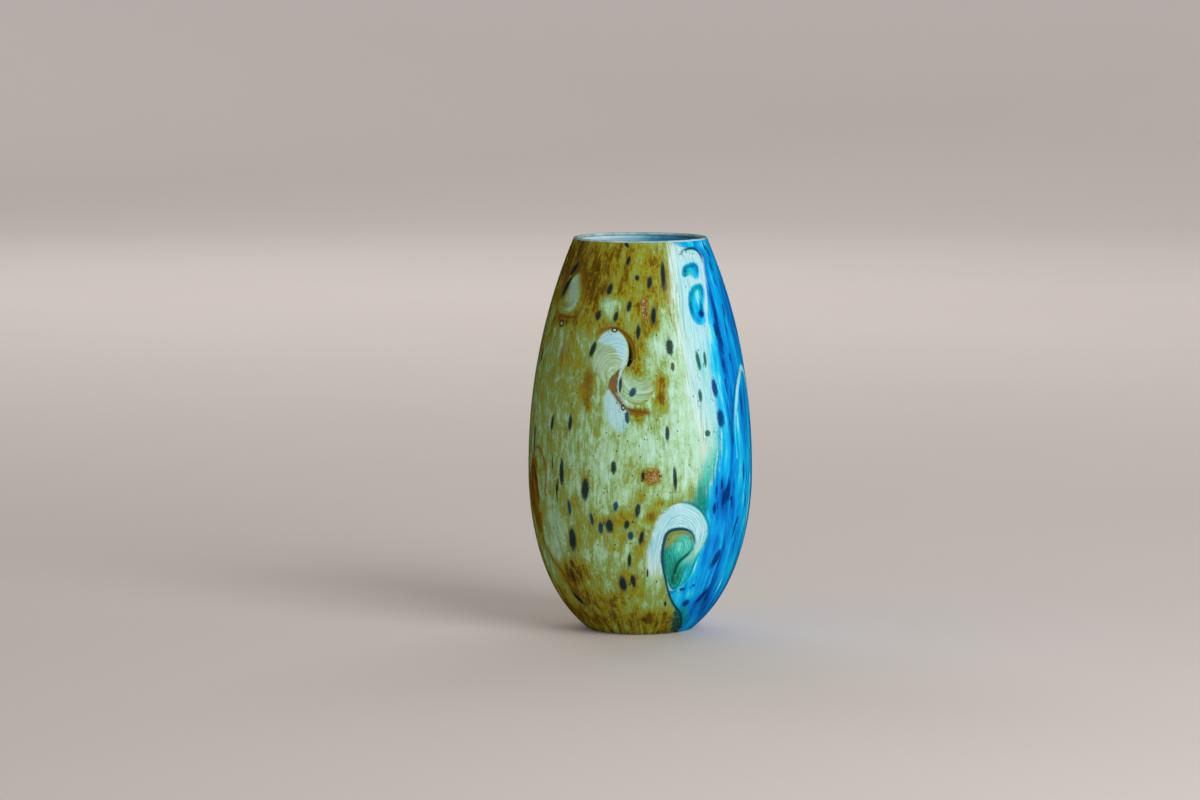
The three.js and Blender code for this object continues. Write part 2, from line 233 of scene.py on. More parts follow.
def edge_azimuth(edge, height):
    """The azimuth of a wandering edge at each height, eased between its points."""
    points = np.reshape(edge, (-1, 2)).astype(float)
    i = np.clip(np.searchsorted(points[:, 1], height, side="right"), 1, len(points) - 1)
    before, after = points[i - 1], points[i]
    share = ease(0, 1, (height - before[:, 1]) / (after[:, 1] - before[:, 1]))
    return before[:, 0] + (after[:, 0] - before[:, 0]) * share


AMBER_TO_PALE = [34, 0, 34, 150, 31, 195, 27, 250, 25, 300, 24, 340, 26, 390]
PALE_TO_BLUE = [
    46, 0, 42, 7, 37, 14, 31, 24, 25.5, 31.5, 21, 39, 19.5, 45, 21, 50, 26, 56, 30.5, 64, 33.5, 80, 36, 95,
    37.5, 107, 36.5, 118, 32.5, 127, 31, 133, 33, 145, 37, 165, 42, 192, 43, 215, 42, 240, 40, 262, 40.5, 290,
    42.5, 310, 46.5, 335, 51.5, 357, 55, 371, 52, 378, 42, 381.5, 33, 384, 28, 390,
]
BLUE_TO_BACK_PALE = [168, 0, 160, 60, 152, 150, 156, 230, 148, 310, 140, 390]
BACK_PALE_TO_AMBER = [176, 0, 172, 60, 168, 150, 166, 230, 170, 310, 164, 390]
PALE_TIP = 150

SHAPES = {
    # The big hook of opal low on the front, and the green heart that it curls round.
    "hook_swirl": outline(
        30.4, 64.4, 32.9, 79.8, 35.8, 92, 37.5, 107, 35.8, 118, 30.6, 130, 21.7, 137.5, 13.6, 133.2, 8.2, 123.6,
        5, 108.4, 2.8, 93, 1.3, 77.5, 1.6, 62, 4, 50, 9, 44, 14.5, 42, 19.5, 44.5, 25.5, 53,
    ),
    "hook_swirl_heart": outline(
        20.6, 111.6, 14.6, 108.5, 12.3, 95.8, 12.2, 81.8, 14.3, 66, 17.3, 54.5, 20.6, 50, 24.2, 55, 26, 68.2,
        29.1, 85, 29.6, 97.4, 26.8, 107.5,
    ),
    # The S on the upper front: two opposed curls and the vein along the upper one.
    "s_swirl_dome": outline(
        -27.2, 268, -27.4, 283, -25.8, 294.7, -22.2, 302.5, -15.2, 305.8, -10.8, 300.5, -7.9, 291.8, -7.1, 282.3,
        -8, 272.5, -11.4, 269.4, -16, 261.5, -21, 256,
    ),
    "s_swirl_vein": trail(
        -14, 305.6, 1.4, -11, 303.2, 2, -7.8, 297, 2.6, -6, 288, 3.6, -5.6, 278.5, 5, -7.4, 270, 2.8,
    ),
    "s_swirl_lobe": outline(
        -10.8, 261, -11.3, 250, -8.7, 240.2, -4.2, 234.4, 1, 234.4, 5.2, 241.3, 7.5, 251, 6, 261, 0, 267, -6, 267.5,
    ),
    # Smaller curls round the shoulder and the belly.
    "left_shoulder_swirl": outline(
        -65, 320, -66.6, 335.2, -62.3, 348, -55, 357, -47.9, 361, -43.2, 354.6, -42, 337.5, -44.6, 324, -53.1, 317.3,
    ),
    "left_belly_swirl": trail(
        -65.5, 132, 3, -66.8, 148, 7, -69.5, 160, 6.5, -74, 172, 3, -77, 190, 2, -75, 204, 2,
    ),
    "shoulder_pocket_upper": outline(
        30.6, 357.6, 33.4, 365.5, 41.4, 368.6, 47.4, 365.6, 46.2, 357.5, 42.6, 352.6, 37.3, 356.4, 32.6, 354.6,
    ),
    "shoulder_pocket_lower": outline(
        32.2, 332.4, 34.9, 342.5, 40, 347.4, 46.5, 347, 46.8, 339, 44.5, 330, 42.6, 319, 41, 310, 35.4, 311,
        32.3, 320.6,
    ),
    "right_belly_hook": trail(
        58.8, 176, 3, 57.6, 205.6, 5, 61.4, 231.9, 6, 66.2, 249.1, 7, 74, 262.5, 7, 80.5, 255, 7, 82.6, 236, 6,
        82.5, 205, 3,
    ),
    # The same kinds of trails round the back.
    "back_amber_swirl": trail(
        -125, 142, 4, -128, 172, 10, -124, 194, 12, -116, 203, 12, -108, 192, 12, -105.5, 172, 10, -108, 150, 4,
    ),
    "back_blue_swirl": trail(
        109, 232, 4, 107, 256, 9, 110, 276, 11, 117, 284, 11, 125, 275, 11, 127.5, 256, 9, 126, 236, 4,
    ),
    # Clusters of crushed frit.
    "brown_frit_patch": outline(
        -0.6, 159, -0.4, 168, 4, 173.4, 9.4, 172, 11.4, 166, 10.4, 158, 6, 153.6, 2, 156.5,
    ),
    "copper_frit_patch": outline(
        -0.5, 319, -1, 330, 1.2, 340, 4.4, 340, 6, 329, 4.6, 316, 2, 311,
    ),
}

# Chips of dark frit: azimuth, height, width, length, and degrees clockwise from upright where it leans.
CHIPS = [
    (5.8, 350.5, 4.6, 13, 8), (15.8, 357, 4.4, 26, 2), (-21.4, 344, 5, 11, 14), (-27.4, 318.5, 5.6, 9, 10),
    (16.5, 289, 7, 15, -2), (-28.6, 286, 5, 15, 18), (-39.4, 214, 4.6, 15, 4), (13.4, 206, 3.8, 15, 2),
    (-44.2, 165, 5.2, 24), (-14, 173, 5, 12.5), (17.3, 161, 3.8, 22, -3), (-29.4, 150, 7.6, 21, 3),
    (-1.8, 131, 5, 13, 8), (-16.4, 115, 7.4, 13), (-39.2, 99, 8.4, 22, 4), (-10.8, 56.6, 7.2, 15.5, -4),
    (43.2, 247.5, 7, 18, -6), (46, 217.5, 9.5, 17, -8), (50.6, 145, 8, 22, 4), (47.2, 78, 8.4, 21, 28),
    (96, 190, 8, 17, 10), (128, 120, 7, 18, -6), (-95, 250, 6, 15, 5), (-150, 120, 7, 19, -4),
]
NAVY_FROM = 40  # degrees: chips past this lie on the blue

# Smaller marks, written like the chips, by their kind.
FRIT, NAVY, GREEN, BUBBLE, UMBER, DUSK = range(6)
MARKS = {
    FRIT: [
        (-9.7, 371.5, 3.4, 10, 14), (-2.7, 355, 4, 5.5), (-7.6, 328, 4, 10, 8), (-15.6, 318, 4.2, 10, 12),
        (7.6, 319, 4.6, 16, 4), (-1.7, 304, 4.2, 13, 3), (-52.7, 212, 3.8, 15, 4), (-71, 194, 3.4, 26),
        (-47.8, 145, 2.4, 16, -3), (-7.4, 117, 5, 8.5, 10), (0.2, 104, 4.2, 12.5, 10), (-6.4, 81, 3.6, 13, 3),
        (-4.6, 59.6, 5, 13, -6), (3.8, 68, 1.8, 9), (-47.6, 37, 5.4, 18, -32), (16.9, 35, 2.6, 6, -10),
        (-57.6, 361, 6, 17, 30), (-61, 343, 6.6, 24, 24), (-12, 386.5, 7, 3.6, 50), (1, 165, 3.4, 9),
        (-88, 130, 6, 18, -6), (-84, 320, 4, 12, 6), (-100, 345, 5, 13, 10), (-112, 290, 5, 13, 4),
        (-92, 60, 5, 14, -12), (-135, 330, 5, 13, 8), (-140, 270, 5, 12), (-146, 200, 4, 16, 4),
        (-160, 300, 4, 12, -4), (-165, 170, 5, 15, 6), (-158, 60, 6, 14, 6), (-75, 275, 4, 14), (-85, 225, 4, 15, 3),
        (-97, 178, 5, 13), (-152, 345, 5, 12, 6), (-118, 108, 6, 13, 4),
    ],
    NAVY: [
        (32.8, 34.4, 7.4, 9, 20), (26.8, 49.7, 6.4, 3.6), (34.5, 52.8, 3.4, 3), (45, 40, 7, 24, 34),
        (60, 107, 3.6, 20, 12), (54, 134, 3, 14), (47.4, 138, 7, 20, 8), (42, 147, 3.2, 9), (45.6, 152, 3, 12),
        (41, 129.5, 4.4, 11), (66.2, 162, 3.4, 19), (61.8, 116, 2.6, 8), (69.8, 132, 2, 13), (67.2, 228, 4, 22, 6),
        (60.2, 275, 3, 9), (52.6, 268, 4.4, 17), (54.6, 290, 3, 13, -6), (50.8, 302, 5, 17, -4),
        (40.6, 319.5, 6.4, 7.4), (64.6, 320, 2.6, 13), (62.3, 304, 2.6, 14), (72.8, 343, 2.6, 14),
        (63.5, 348, 2.6, 10, -8), (65, 363, 2.6, 10), (65, 383, 3, 10), (69.5, 377, 3, 12, -8),
        (52.4, 249, 2.4, 22, -6), (53.6, 318, 3, 14, -6), (82, 300, 4, 20, -6), (90, 240, 5, 22),
        (86, 140, 5, 20, 8), (100, 330, 4, 14), (104, 90, 7, 24, 12), (112, 150, 6, 20), (118, 350, 4, 13),
        (135, 200, 6, 20, -4), (138, 300, 5, 16, 6), (143, 70, 6, 18, 16), (80, 60, 6, 20, 20), (122, 40, 6, 16, 8),
    ],
    GREEN: [
        (33, 241, 4.2, 11, -4), (33.6, 275, 4.6, 18, -8), (38.4, 276, 3.4, 14), (36.4, 204, 6, 6),
    ],
    BUBBLE: [
        (-56.4, 308.5, 8, 7.4), (-15.9, 305.2, 6.2, 5), (-9.4, 231, 4.6, 5.4),
    ],
    UMBER: [
        (-42.8, 74, 5, 9), (-59, 384, 4, 12, 20), (17.6, 270, 3.4, 8), (3, 18, 6, 6),
    ],
    DUSK: [
        (-11.2, 253, 3, 14, 2), (-4.5, 246, 6, 9, 30), (-7.3, 222, 4.2, 13, -8), (-51.2, 172, 2, 14),
        (-39.4, 131, 4.4, 15, -4), (-12.9, 135, 5, 9.5, 8), (-26, 121, 4, 13, -8), (-21.3, 113, 5.4, 12),
        (-5.5, 106, 5.4, 8.5), (-104, 90, 6, 14, -8), (-120, 240, 4, 14), (-128, 70, 6, 15), (-172, 240, 4, 13),
    ],
}

# Lines drawn out of the colour.
UMBER_VEINS = [
    [-29, 297, 0.6, -26, 301.5, 0.8, -22.4, 305.2, 1, -17.2, 307.8, 1.4, -11.9, 305.4, 1.8, -6.6, 298, 2,
     -4.2, 288, 1.8, -3.6, 277, 1.4, -5, 268, 0.8],
    [-18.6, 250.6, 1.2, -15.8, 247, 2, -12, 238.6, 2.2, -8.6, 231.4, 2.6, -3, 227.6, 2.2, 3, 226.6, 1],
    [-65.1, 316.6, 1.4, -52.7, 315.2, 1.8, -44, 316.6, 1.2, -41, 325.8, 0.6, -39.8, 342.1, 0.6],
    [-45.5, 360.5, 0.7, -52, 364.5, 1.1, -59, 364, 1.4, -65, 354, 1.4, -69, 340, 1, -69.5, 325, 0.6],
    [-62, 101, 0.5, -66.5, 93.6, 0.8, -61.7, 79, 1, -56.1, 68, 1.2, -49.4, 55.2, 0.8, -43.5, 42, 0.5],
    [-58.6, 135, 0.4, -56.8, 157, 0.5, -58, 171, 0.6, -63, 183.6, 0.9, -69.5, 184.6, 0.9, -74, 172, 0.7],
    [-68, 51.4, 0.6, -64.4, 33, 0.8, -63.1, 9.2, 0.6],
    [-104, 140, 1, -102, 170, 1.4, -106, 196, 1.6, -116, 213, 1.6, -130, 203, 1.6, -135, 172, 1.4, -133, 140, 1],
]
INK_VEINS = [
    [29.4, 92, 0.8, 30, 98, 1, 27, 108.2, 1.8, 20.6, 112, 2.8, 14.1, 108.8, 3.2, 11.9, 95.8, 3, 11.8, 81.8, 2.8,
     13.8, 66, 2.2, 16.8, 51, 2, 20.2, 40, 2.2, 25, 31.4, 2.6, 31, 23.6, 3, 37, 13.6, 3.4, 42.4, 5, 3.4],
    [18, 139.4, 0.1, 26, 136.8, 0.2, 31.4, 131, 0.3, 36.8, 118.4, 0.3, 38.4, 107, 0.2, 37.2, 92, 0.1],
    [55, 366, 1.4, 54, 376.4, 2, 47.6, 381.6, 2.4, 38, 380.6, 1.6, 32.6, 377, 0.6],
    [54, 196, 0.6, 55.2, 215, 1, 58.6, 234, 1.2, 63, 250, 1.2, 70, 263.6, 0.8],
    [53, 20, 0.8, 48, 34, 1.2, 45, 46, 0.8],
    [-123.4, 146, 0.8, -122.4, 170, 1.4, -119.6, 187, 2, -115.4, 193.6, 2.2, -111.4, 187, 1.8, -109.8, 170, 1.4,
     -111.2, 150, 0.8],
]
COMMA_LINE = [
    29, 93, 0.8, 26.8, 86.4, 1.6, 23.8, 82, 2.2, 20.8, 76, 2.8, 19.6, 67, 3, 18.8, 56, 1.6,
]
PALE_VEINS = [
    [27.4, 368, 2, 31.2, 375.6, 4, 38, 376.2, 5, 45, 374.6, 5, 50, 369, 4.6, 51.4, 360, 3.8, 49.6, 349, 3.6,
     48.6, 337, 3, 46, 322, 2.6, 43.4, 306, 2.2],
    [33, 350.6, 4.4, 38, 350.6, 5, 44, 350.4, 4, 48.6, 353, 3],
    [-10.4, 293, 2, -9, 284, 3.4, -9.6, 275, 4, -11, 266, 3.2, -12.3, 256, 1.6, -12, 246, 1.2, -9, 237.6, 1.1,
     -5, 233, 0.9],
    [24.6, 330, 1.4, 25.4, 305, 2.6, 26.6, 280, 3, 28, 255, 2.4, 29, 235, 1.2],
    [30, 300, 1.6, 30.6, 280, 3, 32, 258, 3.4, 34.6, 240, 3.4, 36.6, 222, 3.2, 38.6, 204, 3.2, 39.4, 190, 2],
]

# Clouds on the amber side: azimuth, height, reach round, reach up, and how much more amber.
AMBER_CLOUDS = [
    (-4, 350, 11, 22, -0.14), (-20, 330, 12, 9, -0.3), (-10, 342, 20, 8, 0.16), (-22, 364, 16, 18, 0.08),
    (-34, 350, 9, 30, 0.2), (-33, 322, 8, 16, 0.18), (17, 352, 4, 18, 0.3), (9, 325, 12, 22, 0.14),
    (-3, 328, 7, 9, 0.2), (-18, 312, 14, 5, 0.26), (5, 308, 7, 12, 0.16), (-4, 312, 5, 5, -0.16),
    (-62, 378, 14, 12, 0.2), (-50, 312, 18, 6, 0.34), (-56, 300, 12, 10, -0.12), (-66, 345, 5, 24, 0.2),
    (-24, 250, 8, 30, 0.06), (-30, 244, 6, 20, 0.34), (-36, 262, 7, 14, 0.14), (-2, 284, 7, 19, 0.44),
    (-1, 265, 7, 6, 0.34), (10.6, 249, 5, 17, 0.52), (7, 233, 13, 8, 0.26), (-2, 224, 10, 7, 0.4),
    (0, 214, 8, 6, 0.14), (-10, 268, 5, 5, 0.2), (14, 290, 12, 22, -0.16), (-28, 218, 12, 16, 0.12),
    (-40, 220, 12, 30, 0.06), (-18, 204, 12, 14, 0.06), (4, 190, 14, 12, -0.08), (-4, 168, 10, 12, 0.1),
    (-46, 185, 10, 26, 0.02), (17, 150, 6, 14, 0.14), (26, 148, 7, 8, 0.16), (-17, 121, 22, 7, 0.34),
    (-8, 128, 7, 9, 0.24), (0, 143, 4, 9, 0.4), (5, 126, 5, 8, 0.32), (1, 106, 6, 10, 0.3), (10, 138, 10, 4, 0.3),
    (-22, 106, 5, 8, 0.26), (-12, 104, 9, 8, 0.2), (-37, 66, 12, 12, 0.36), (-46, 62, 9, 16, 0.34),
    (-40, 99, 6, 12, 0.1), (-24, 92, 9, 14, -0.1), (-14, 74, 12, 9, -0.06), (-8, 58, 10, 10, 0.16),
    (-22, 38, 20, 10, 0.16), (-44, 40, 12, 10, 0.14), (-2, 96, 5, 22, 0.12), (-56, 24, 16, 16, 0.16),
    (8, 58, 10, 24, -0.4), (5, 20, 15, 8, 0.24), (16, 34, 14, 7, -0.16), (-2, 36, 10, 8, -0.14),
    (24, 20, 10, 8, 0.1), (-22, 18, 16, 7, 0.14), (5, 163, 10, 8, 0.46), (-29.5, 161, 5, 8, 0.26),
    (-50, 100, 14, 26, -0.16), (-56, 110, 8, 24, -0.1), (-68, 128, 5, 24, 0.4), (-70, 150, 4, 14, 0.3),
    (-66, 60, 8, 22, -0.14), (-100, 120, 30, 14, 0.34), (-130, 100, 26, 16, 0.3), (-160, 130, 22, 18, 0.3),
    (-116, 226, 26, 10, 0.3), (-150, 240, 18, 26, 0.2), (-90, 200, 10, 40, 0.16), (-170, 200, 10, 40, 0.2),
    (-140, 165, 9, 26, 0.24), (-96, 300, 16, 20, 0.2), (-128, 300, 14, 24, -0.12), (-155, 330, 14, 22, 0.18),
    (-105, 60, 24, 14, 0.16), (-140, 50, 22, 14, 0.2), (-110, 160, 12, 30, -0.06),
]
# The same for how much deeper the blue is.
BLUE_CLOUDS = [
    (47, 38, 8, 18, 0.2), (53, 30, 16, 14, 0.1), (60, 250, 6, 50, 0.24), (58, 330, 8, 60, 0.12),
    (47, 138, 10, 24, 0.26), (49, 195, 6, 44, -0.26), (46, 262, 5, 34, -0.22), (62, 190, 5, 46, -0.2),
    (72, 210, 6, 36, 0.2), (57, 66, 6, 24, -0.2), (70, 110, 8, 40, -0.1), (76, 150, 6, 60, -0.16),
    (55, 170, 4, 50, 0.16), (72, 300, 8, 60, 0.06), (60, 384, 14, 5, -0.3), (44, 386, 14, 4, -0.1),
    (46, 300, 6, 16, -0.24), (52, 305, 4, 26, 0.16), (40, 78, 7, 22, -0.04), (34, 44, 10, 6, -0.2),
    (40, 60, 7, 12, -0.12), (60, 20, 16, 12, 0.14), (66, 70, 5, 22, -0.14), (55, 215, 4, 40, 0.16),
    (60, 300, 4, 50, -0.06), (43, 110, 6, 16, -0.14), (64, 238, 5, 18, -0.24), (60, 215, 4, 30, -0.2),
    (100, 100, 16, 70, 0.18), (118, 220, 14, 60, -0.16), (130, 330, 16, 60, 0.14), (98, 320, 12, 60, -0.12),
    (145, 120, 14, 60, 0.12), (112, 60, 12, 50, -0.16), (84, 30, 18, 30, 0.18), (140, 250, 8, 60, -0.2),
    (60.5, 222, 3.4, 30, -0.3), (71, 256, 5, 8, -0.3), (67.5, 120, 2.4, 16, -0.4), (60.5, 48, 2.4, 12, -0.4),
    (57, 148, 2, 26, -0.3), (77, 130, 2.6, 40, -0.35), (92, 100, 3, 34, -0.35), (100, 230, 3, 40, -0.35),
    (136, 120, 3, 40, -0.35), (115, 330, 3, 30, -0.35),
]
TEAL_CLOUDS = [
    (35, 133, 7, 9, 0.5), (33, 22, 8, 14, 0.9), (39, 10, 6, 12, 0.9), (37, 258, 3, 16, 0.3), (33, 272, 3, 14, 0.4),
    (43, 384, 7, 4, 0.4), (31, 352, 2, 9, 0.5), (160, 120, 12, 60, 0.5), (156, 250, 10, 40, 0.3),
]
BROWN_CLOUDS = [
    (-30, 244, 6, 18, 0.6), (-28, 262, 5, 8, 0.3), (-48, 368, 14, 6, 0.3), (-40, 345, 2.4, 24, 0.4),
    (-56, 313, 11, 4, 0.5), (-48, 312, 8, 6, 0.3), (-13, 263, 3.4, 7, 0.7), (-13.6, 252, 3, 8, 0.9),
    (-11, 240, 3, 6, 0.7), (-5, 228, 7, 3, 0.7), (10.8, 250, 2.4, 12, 0.5), (-3, 284, 3, 13, 0.6),
    (-12, 307, 7, 2.6, 0.5), (16.4, 355, 2.4, 15, 0.7), (-69, 133, 3, 22, 0.8), (-71, 165, 3, 12, 0.7),
    (-68, 112, 3, 12, 0.7), (-36, 14, 30, 10, 0.25), (-66, 378, 8, 8, 0.4), (5, 164, 9, 7, 0.3),
    (-64, 352, 5, 14, 0.4), (-45, 62, 7, 12, 0.3), (-36, 68, 8, 6, 0.2), (4, 19, 9, 4, 0.4), (-110, 205, 8, 10, 0.3),
    (-132, 180, 6, 20, 0.3), (-8, 268, 4, 3, 0.5),
]
SKY_CLOUDS = [
    (-11.5, 224, 6, 12, 1.0), (-14, 236, 4.6, 9, 1.0), (-9, 212, 5, 9, 0.5), (-55, 98, 9, 24, 0.5),
    (-20, 300, 5, 5, 0.3), (28, 200, 5, 60, 0.25), (36, 240, 6, 40, 0.5), (33, 330, 8, 40, 0.5),
    (22, 168, 10, 26, 0.2), (-52, 288, 10, 16, 0.35), (-22, 332, 6, 8, 0.45), (-35, 292, 5, 10, 0.25),
    (2, 194, 8, 8, 0.3), (-12, 292, 4, 9, 0.4), (-36, 118, 8, 12, 0.25), (-18, 88, 7, 10, 0.2),
    (-60, 60, 8, 16, 0.25), (12, 282, 8, 16, 0.2), (-20, 188, 8, 12, 0.25), (-38, 184, 7, 16, 0.2),
]


# Stains with an outline of their own, and the painted shade of the dark wedge under the hook: the outline, how soft it
# is, and the fields it fills.
STAINS_AND_SHADE = [
    ([-11.2, 270.6, -13.6, 264, -16.6, 259.6, -17.6, 250.4, -15, 245.4, -12.8, 246.6, -12.8, 256, -11.6, 263.6],
     1.6, {"brown": 1.25, "pale": 0, "sky": 0}),
    ([-18.2, 247.6, -14.6, 244.6, -11.2, 237.4, -8.4, 229.4, -7.4, 219, -9.4, 209, -14, 212, -17.6, 221, -19.4, 236],
     3.6, {"sky": 1.15, "amber": 0.12, "brown": 0}),
    ([-2.4, 230.6, 3.4, 229.4, 5, 224.8, -1, 222.4, -7, 225.4], 3, {"brown": 0.8}),
    ([7.4, 256, 11.6, 259, 13.2, 250, 11.4, 239, 8, 237.4, 8.8, 247], 3, {"brown": 0.42, "amber": 0.74}),
    ([-33, 262, -29, 266, -26.6, 254, -27.6, 238, -29.4, 228, -32.2, 236], 4, {"brown": 0.62, "amber": 0.6}),
    ([-70, 176, -67, 172, -66.4, 160, -69.4, 146, -67, 132, -64.4, 118, -64, 103, -69, 100, -76, 118, -80, 146,
      -76, 168], 3, {"brown": 0.7, "amber": 0.74}),
    ([-64, 97, -60, 84, -55, 76, -50, 78, -44.4, 96, -46, 124, -52, 136, -58, 128, -61, 112],
     5, {"sky": 0.34, "amber": 0.33, "brown": 0}),
    ([-123.5, 140, -122.6, 172, -119.6, 190, -115, 196, -111, 189, -109.4, 172, -111.4, 146, -117, 136],
     2.5, {"teal": 0.95, "pale": 0.35, "sky": 0.3}),
    ([110, 236, 110.6, 258, 113, 272, 117, 278, 121.4, 272, 123.8, 256, 122.6, 238, 117, 228],
     3, {"blue": 0.78, "pale": 0}),
    # The dark wedge under the hook at the foot: teal glass, darkened further by painted shade.
    ([25, 32, 31, 24.6, 38, 13.6, 43.6, 2, 34, 1, 28.4, 9, 26, 20], 2.6, {"teal": 0.75, "shade": 0.72}),
]


def clouds(places, azimuth, height):
    """The sum of soft clouds at each place."""
    total = np.zeros(len(azimuth))
    for about, middle, across, up, amount in places:
        x, y = away_from(about, middle, azimuth, height)
        total += amount * np.exp(-((x / across) ** 2) - (y / up) ** 2)
    return total


# ---- The skin: one surface, cut along its outlines into pieces of glass ----


class Skin:
    """The wall's outer surface as polygons whose corners are places on the wall."""

    SNAP = 0.12  # millimetres: an outline this near a corner goes through it

    def __init__(self):
        runs = np.linspace(run_at(SKIN_BOTTOM), run_at(SKIN_TOP), ROWS + 1)
        heights = np.interp(runs, wall_run, wall_line[:, 1])
        azimuths = np.arange(COLUMNS) * 360 / COLUMNS - 180
        self.azimuth = np.tile(azimuths, ROWS + 1)
        self.height = np.repeat(heights, COLUMNS)
        row, column = np.divmod(np.arange(ROWS * COLUMNS), COLUMNS)
        row *= COLUMNS
        beside = (column + 1) % COLUMNS
        above = row + COLUMNS
        quads = np.stack([row + column, row + beside, above + beside, above + column], -1)
        self.faces = [tuple(q) for q in quads.tolist()]

    def cut(self, distance):
        """Splits the faces along the line where distance(azimuth, height) is nought."""
        value = distance(self.azimuth, self.height)
        value[np.abs(value) < self.SNAP] = 0
        sides = np.sign(value)
        made = {}
        azimuth, height, kept = [], [], []
        base = len(self.azimuth)

        def between(i, j):
            key = (min(i, j), max(i, j))
            if key not in made:
                i, j = key
                t = value[i] / (value[i] - value[j])
                azimuth.append(self.azimuth[i] + t * turn_from(self.azimuth[j], self.azimuth[i]))
                height.append(self.height[i] + t * (self.height[j] - self.height[i]))
                made[key] = base + len(made)
            return made[key]

        side_list = sides.tolist()
        for face in self.faces:
            signs = [side_list[i] for i in face]
            if min(signs) >= 0 or max(signs) <= 0:
                kept.append(face)
                continue
            for wanted in (-1, 1):
                part = []
                for i, s, j, t in zip(face, signs, face[1:] + face[:1], signs[1:] + signs[:1]):
                    if s * wanted >= 0:
                        part.append(i)
                    if s * t < 0:
                        part.append(between(i, j))
                if len(part) > 2:
                    kept.append(tuple(part))
        self.faces = kept
        self.azimuth = np.concatenate([self.azimuth, azimuth])
        self.height = np.concatenate([self.height, height])

    def middles(self):
        """The middle of each face."""
        sizes = np.array([len(f) for f in self.faces])
        flat = np.concatenate([np.array(f) for f in self.faces])
        owner = np.repeat(np.arange(len(sizes)), sizes)
        angle = np.radians(self.azimuth[flat])
        east = np.bincount(owner, np.sin(angle))
        north = np.bincount(owner, np.cos(angle))
        return np.degrees(np.arctan2(east, north)), np.bincount(owner, self.height[flat]) / sizes


def chip_coordinates(chip, azimuth, height):
    """Where each place is in a chip: 1 away from its middle is its edge."""
    about, middle, width, length, tilt = (*chip, 0)[:5]
    x, y = away_from(about, middle, azimuth, height)
    c, s = math.cos(math.radians(tilt)), math.sin(math.radians(tilt))
    return (x * c - y * s) / (width / 2), (x * s + y * c) / (length / 2)


def chip_distance(chip):
    """A function for how far outside a chip a place is, in millimetres or so."""
    seat = 0.9  # the chip's own glass runs this far past its colour

    def distance(azimuth, height):
        across, along = chip_coordinates(chip, azimuth, height)
        return (np.hypot(across, along) - 1) * chip[2] / 2 - seat

    return distance


def band_distance(start, end):
    """How far outside a band between two wandering edges a place is."""

    def distance(azimuth, height):
        after = turn_from(edge_azimuth(start, height), azimuth)
        before = turn_from(azimuth, edge_azimuth(end, height))
        return np.radians(np.maximum(after, before)) * radius_at(height)

    return distance


blue_distance = band_distance(PALE_TO_BLUE, BLUE_TO_BACK_PALE)
back_pale_distance = band_distance(BLUE_TO_BACK_PALE, BACK_PALE_TO_AMBER)
pale_band_distance = band_distance(AMBER_TO_PALE, PALE_TO_BLUE)


def pale_distance(azimuth, height):
    return np.maximum(pale_band_distance(azimuth, height), PALE_TIP - height)


PARTS = {f"frit_chip_{i + 1:02d}": chip_distance(chip) for i, chip in enumerate(CHIPS)}
for shape_name in (
    "brown_frit_patch", "copper_frit_patch", "hook_swirl_heart", "hook_swirl", "s_swirl_vein", "s_swirl_dome",
    "s_swirl_lobe", "left_shoulder_swirl", "left_belly_swirl", "shoulder_pocket_upper", "shoulder_pocket_lower",
    "right_belly_hook", "back_amber_swirl", "back_blue_swirl",
):
    PARTS[shape_name] = lambda azimuth, height, shape=SHAPES[shape_name]: shape.measure(azimuth, height)[0]
PARTS["pale_band"] = pale_distance
PARTS["blue_coat"] = blue_distance
PARTS["back_pale_band"] = back_pale_distance

skin = Skin()
for distance in PARTS.values():
    skin.cut(distance)
middle_azimuth, middle_height = skin.middles()
owner_of_face = np.full(len(skin.faces), len(PARTS))
for order, distance in reversed(list(enumerate(PARTS.values()))):
    owner_of_face[distance(middle_azimuth, middle_height) < 0] = order
part_names = [*PARTS, "amber_coat"]

# ---- Surface: gentle relief, and normals shared by neighbouring pieces ----

azimuth, height = skin.azimuth, skin.height
measured = {name: shape.measure(azimuth, height) for name, shape in SHAPES.items()}
to_blue = -blue_distance(azimuth, height)
to_back_pale = -back_pale_distance(azimuth, height)

RAISED = {"hook_swirl": 0.45, "hook_swirl_heart": -0.35, "s_swirl_dome": 0.35, "s_swirl_lobe": 0.25,
          "left_shoulder_swirl": 0.3, "right_belly_hook": 0.25, "back_amber_swirl": 0.35, "back_blue_swirl": 0.3}


def relief(azimuth, height):
    """How far the glass stands out from the plain wall, in millimetres."""
    turn = np.radians(azimuth)
    out = 0.16 * np.sin(2 * turn + height / 47) + 0.1 * np.sin(3 * turn - height / 31 + 1)
    for name, amount in RAISED.items():
        out += amount * ease(2.5, -5, measured[name][0])
    settle = ease(0, 14, height) * ease(HEIGHT, HEIGHT - 14, height)
    return out * settle


def wall_points(azimuth, height, depth, proud):
    """Points that lie under the wall by depth, in metres."""
    out, up = outward_at(height)
    shift = proud - depth
    turn = np.radians(azimuth)
    reach = radius_at(height) + out * shift
    return np.stack([reach * np.sin(turn), -reach * np.cos(turn), np.maximum(height + up * shift, 0)], -1) * MM


proud = relief(azimuth, height)
outer = wall_points(azimuth, height, 0, proud)
inner = wall_points(azimuth, height, COAT, proud)


def shared_normals(points, faces):
    """Each corner's normal, by the areas of the faces round it."""
    total = np.zeros_like(points)
    for size in set(map(len, faces)):
        index = np.array([f for f in faces if len(f) == size])
        corners = points[index]
        area = np.zeros((len(index), 3))
        for k in range(1, size - 1):
            area += np.cross(corners[:, k] - corners[:, 0], corners[:, k + 1] - corners[:, 0])
        for k in range(size):
            np.add.at(total, index[:, k], area)
    return total / np.maximum(np.linalg.norm(total, axis=1), 1e-12)[:, None]


normals = shared_normals(outer, skin.faces)

# ---- Paint: what the glass holds at each corner ----

FLOW_RADIUS = 100.0


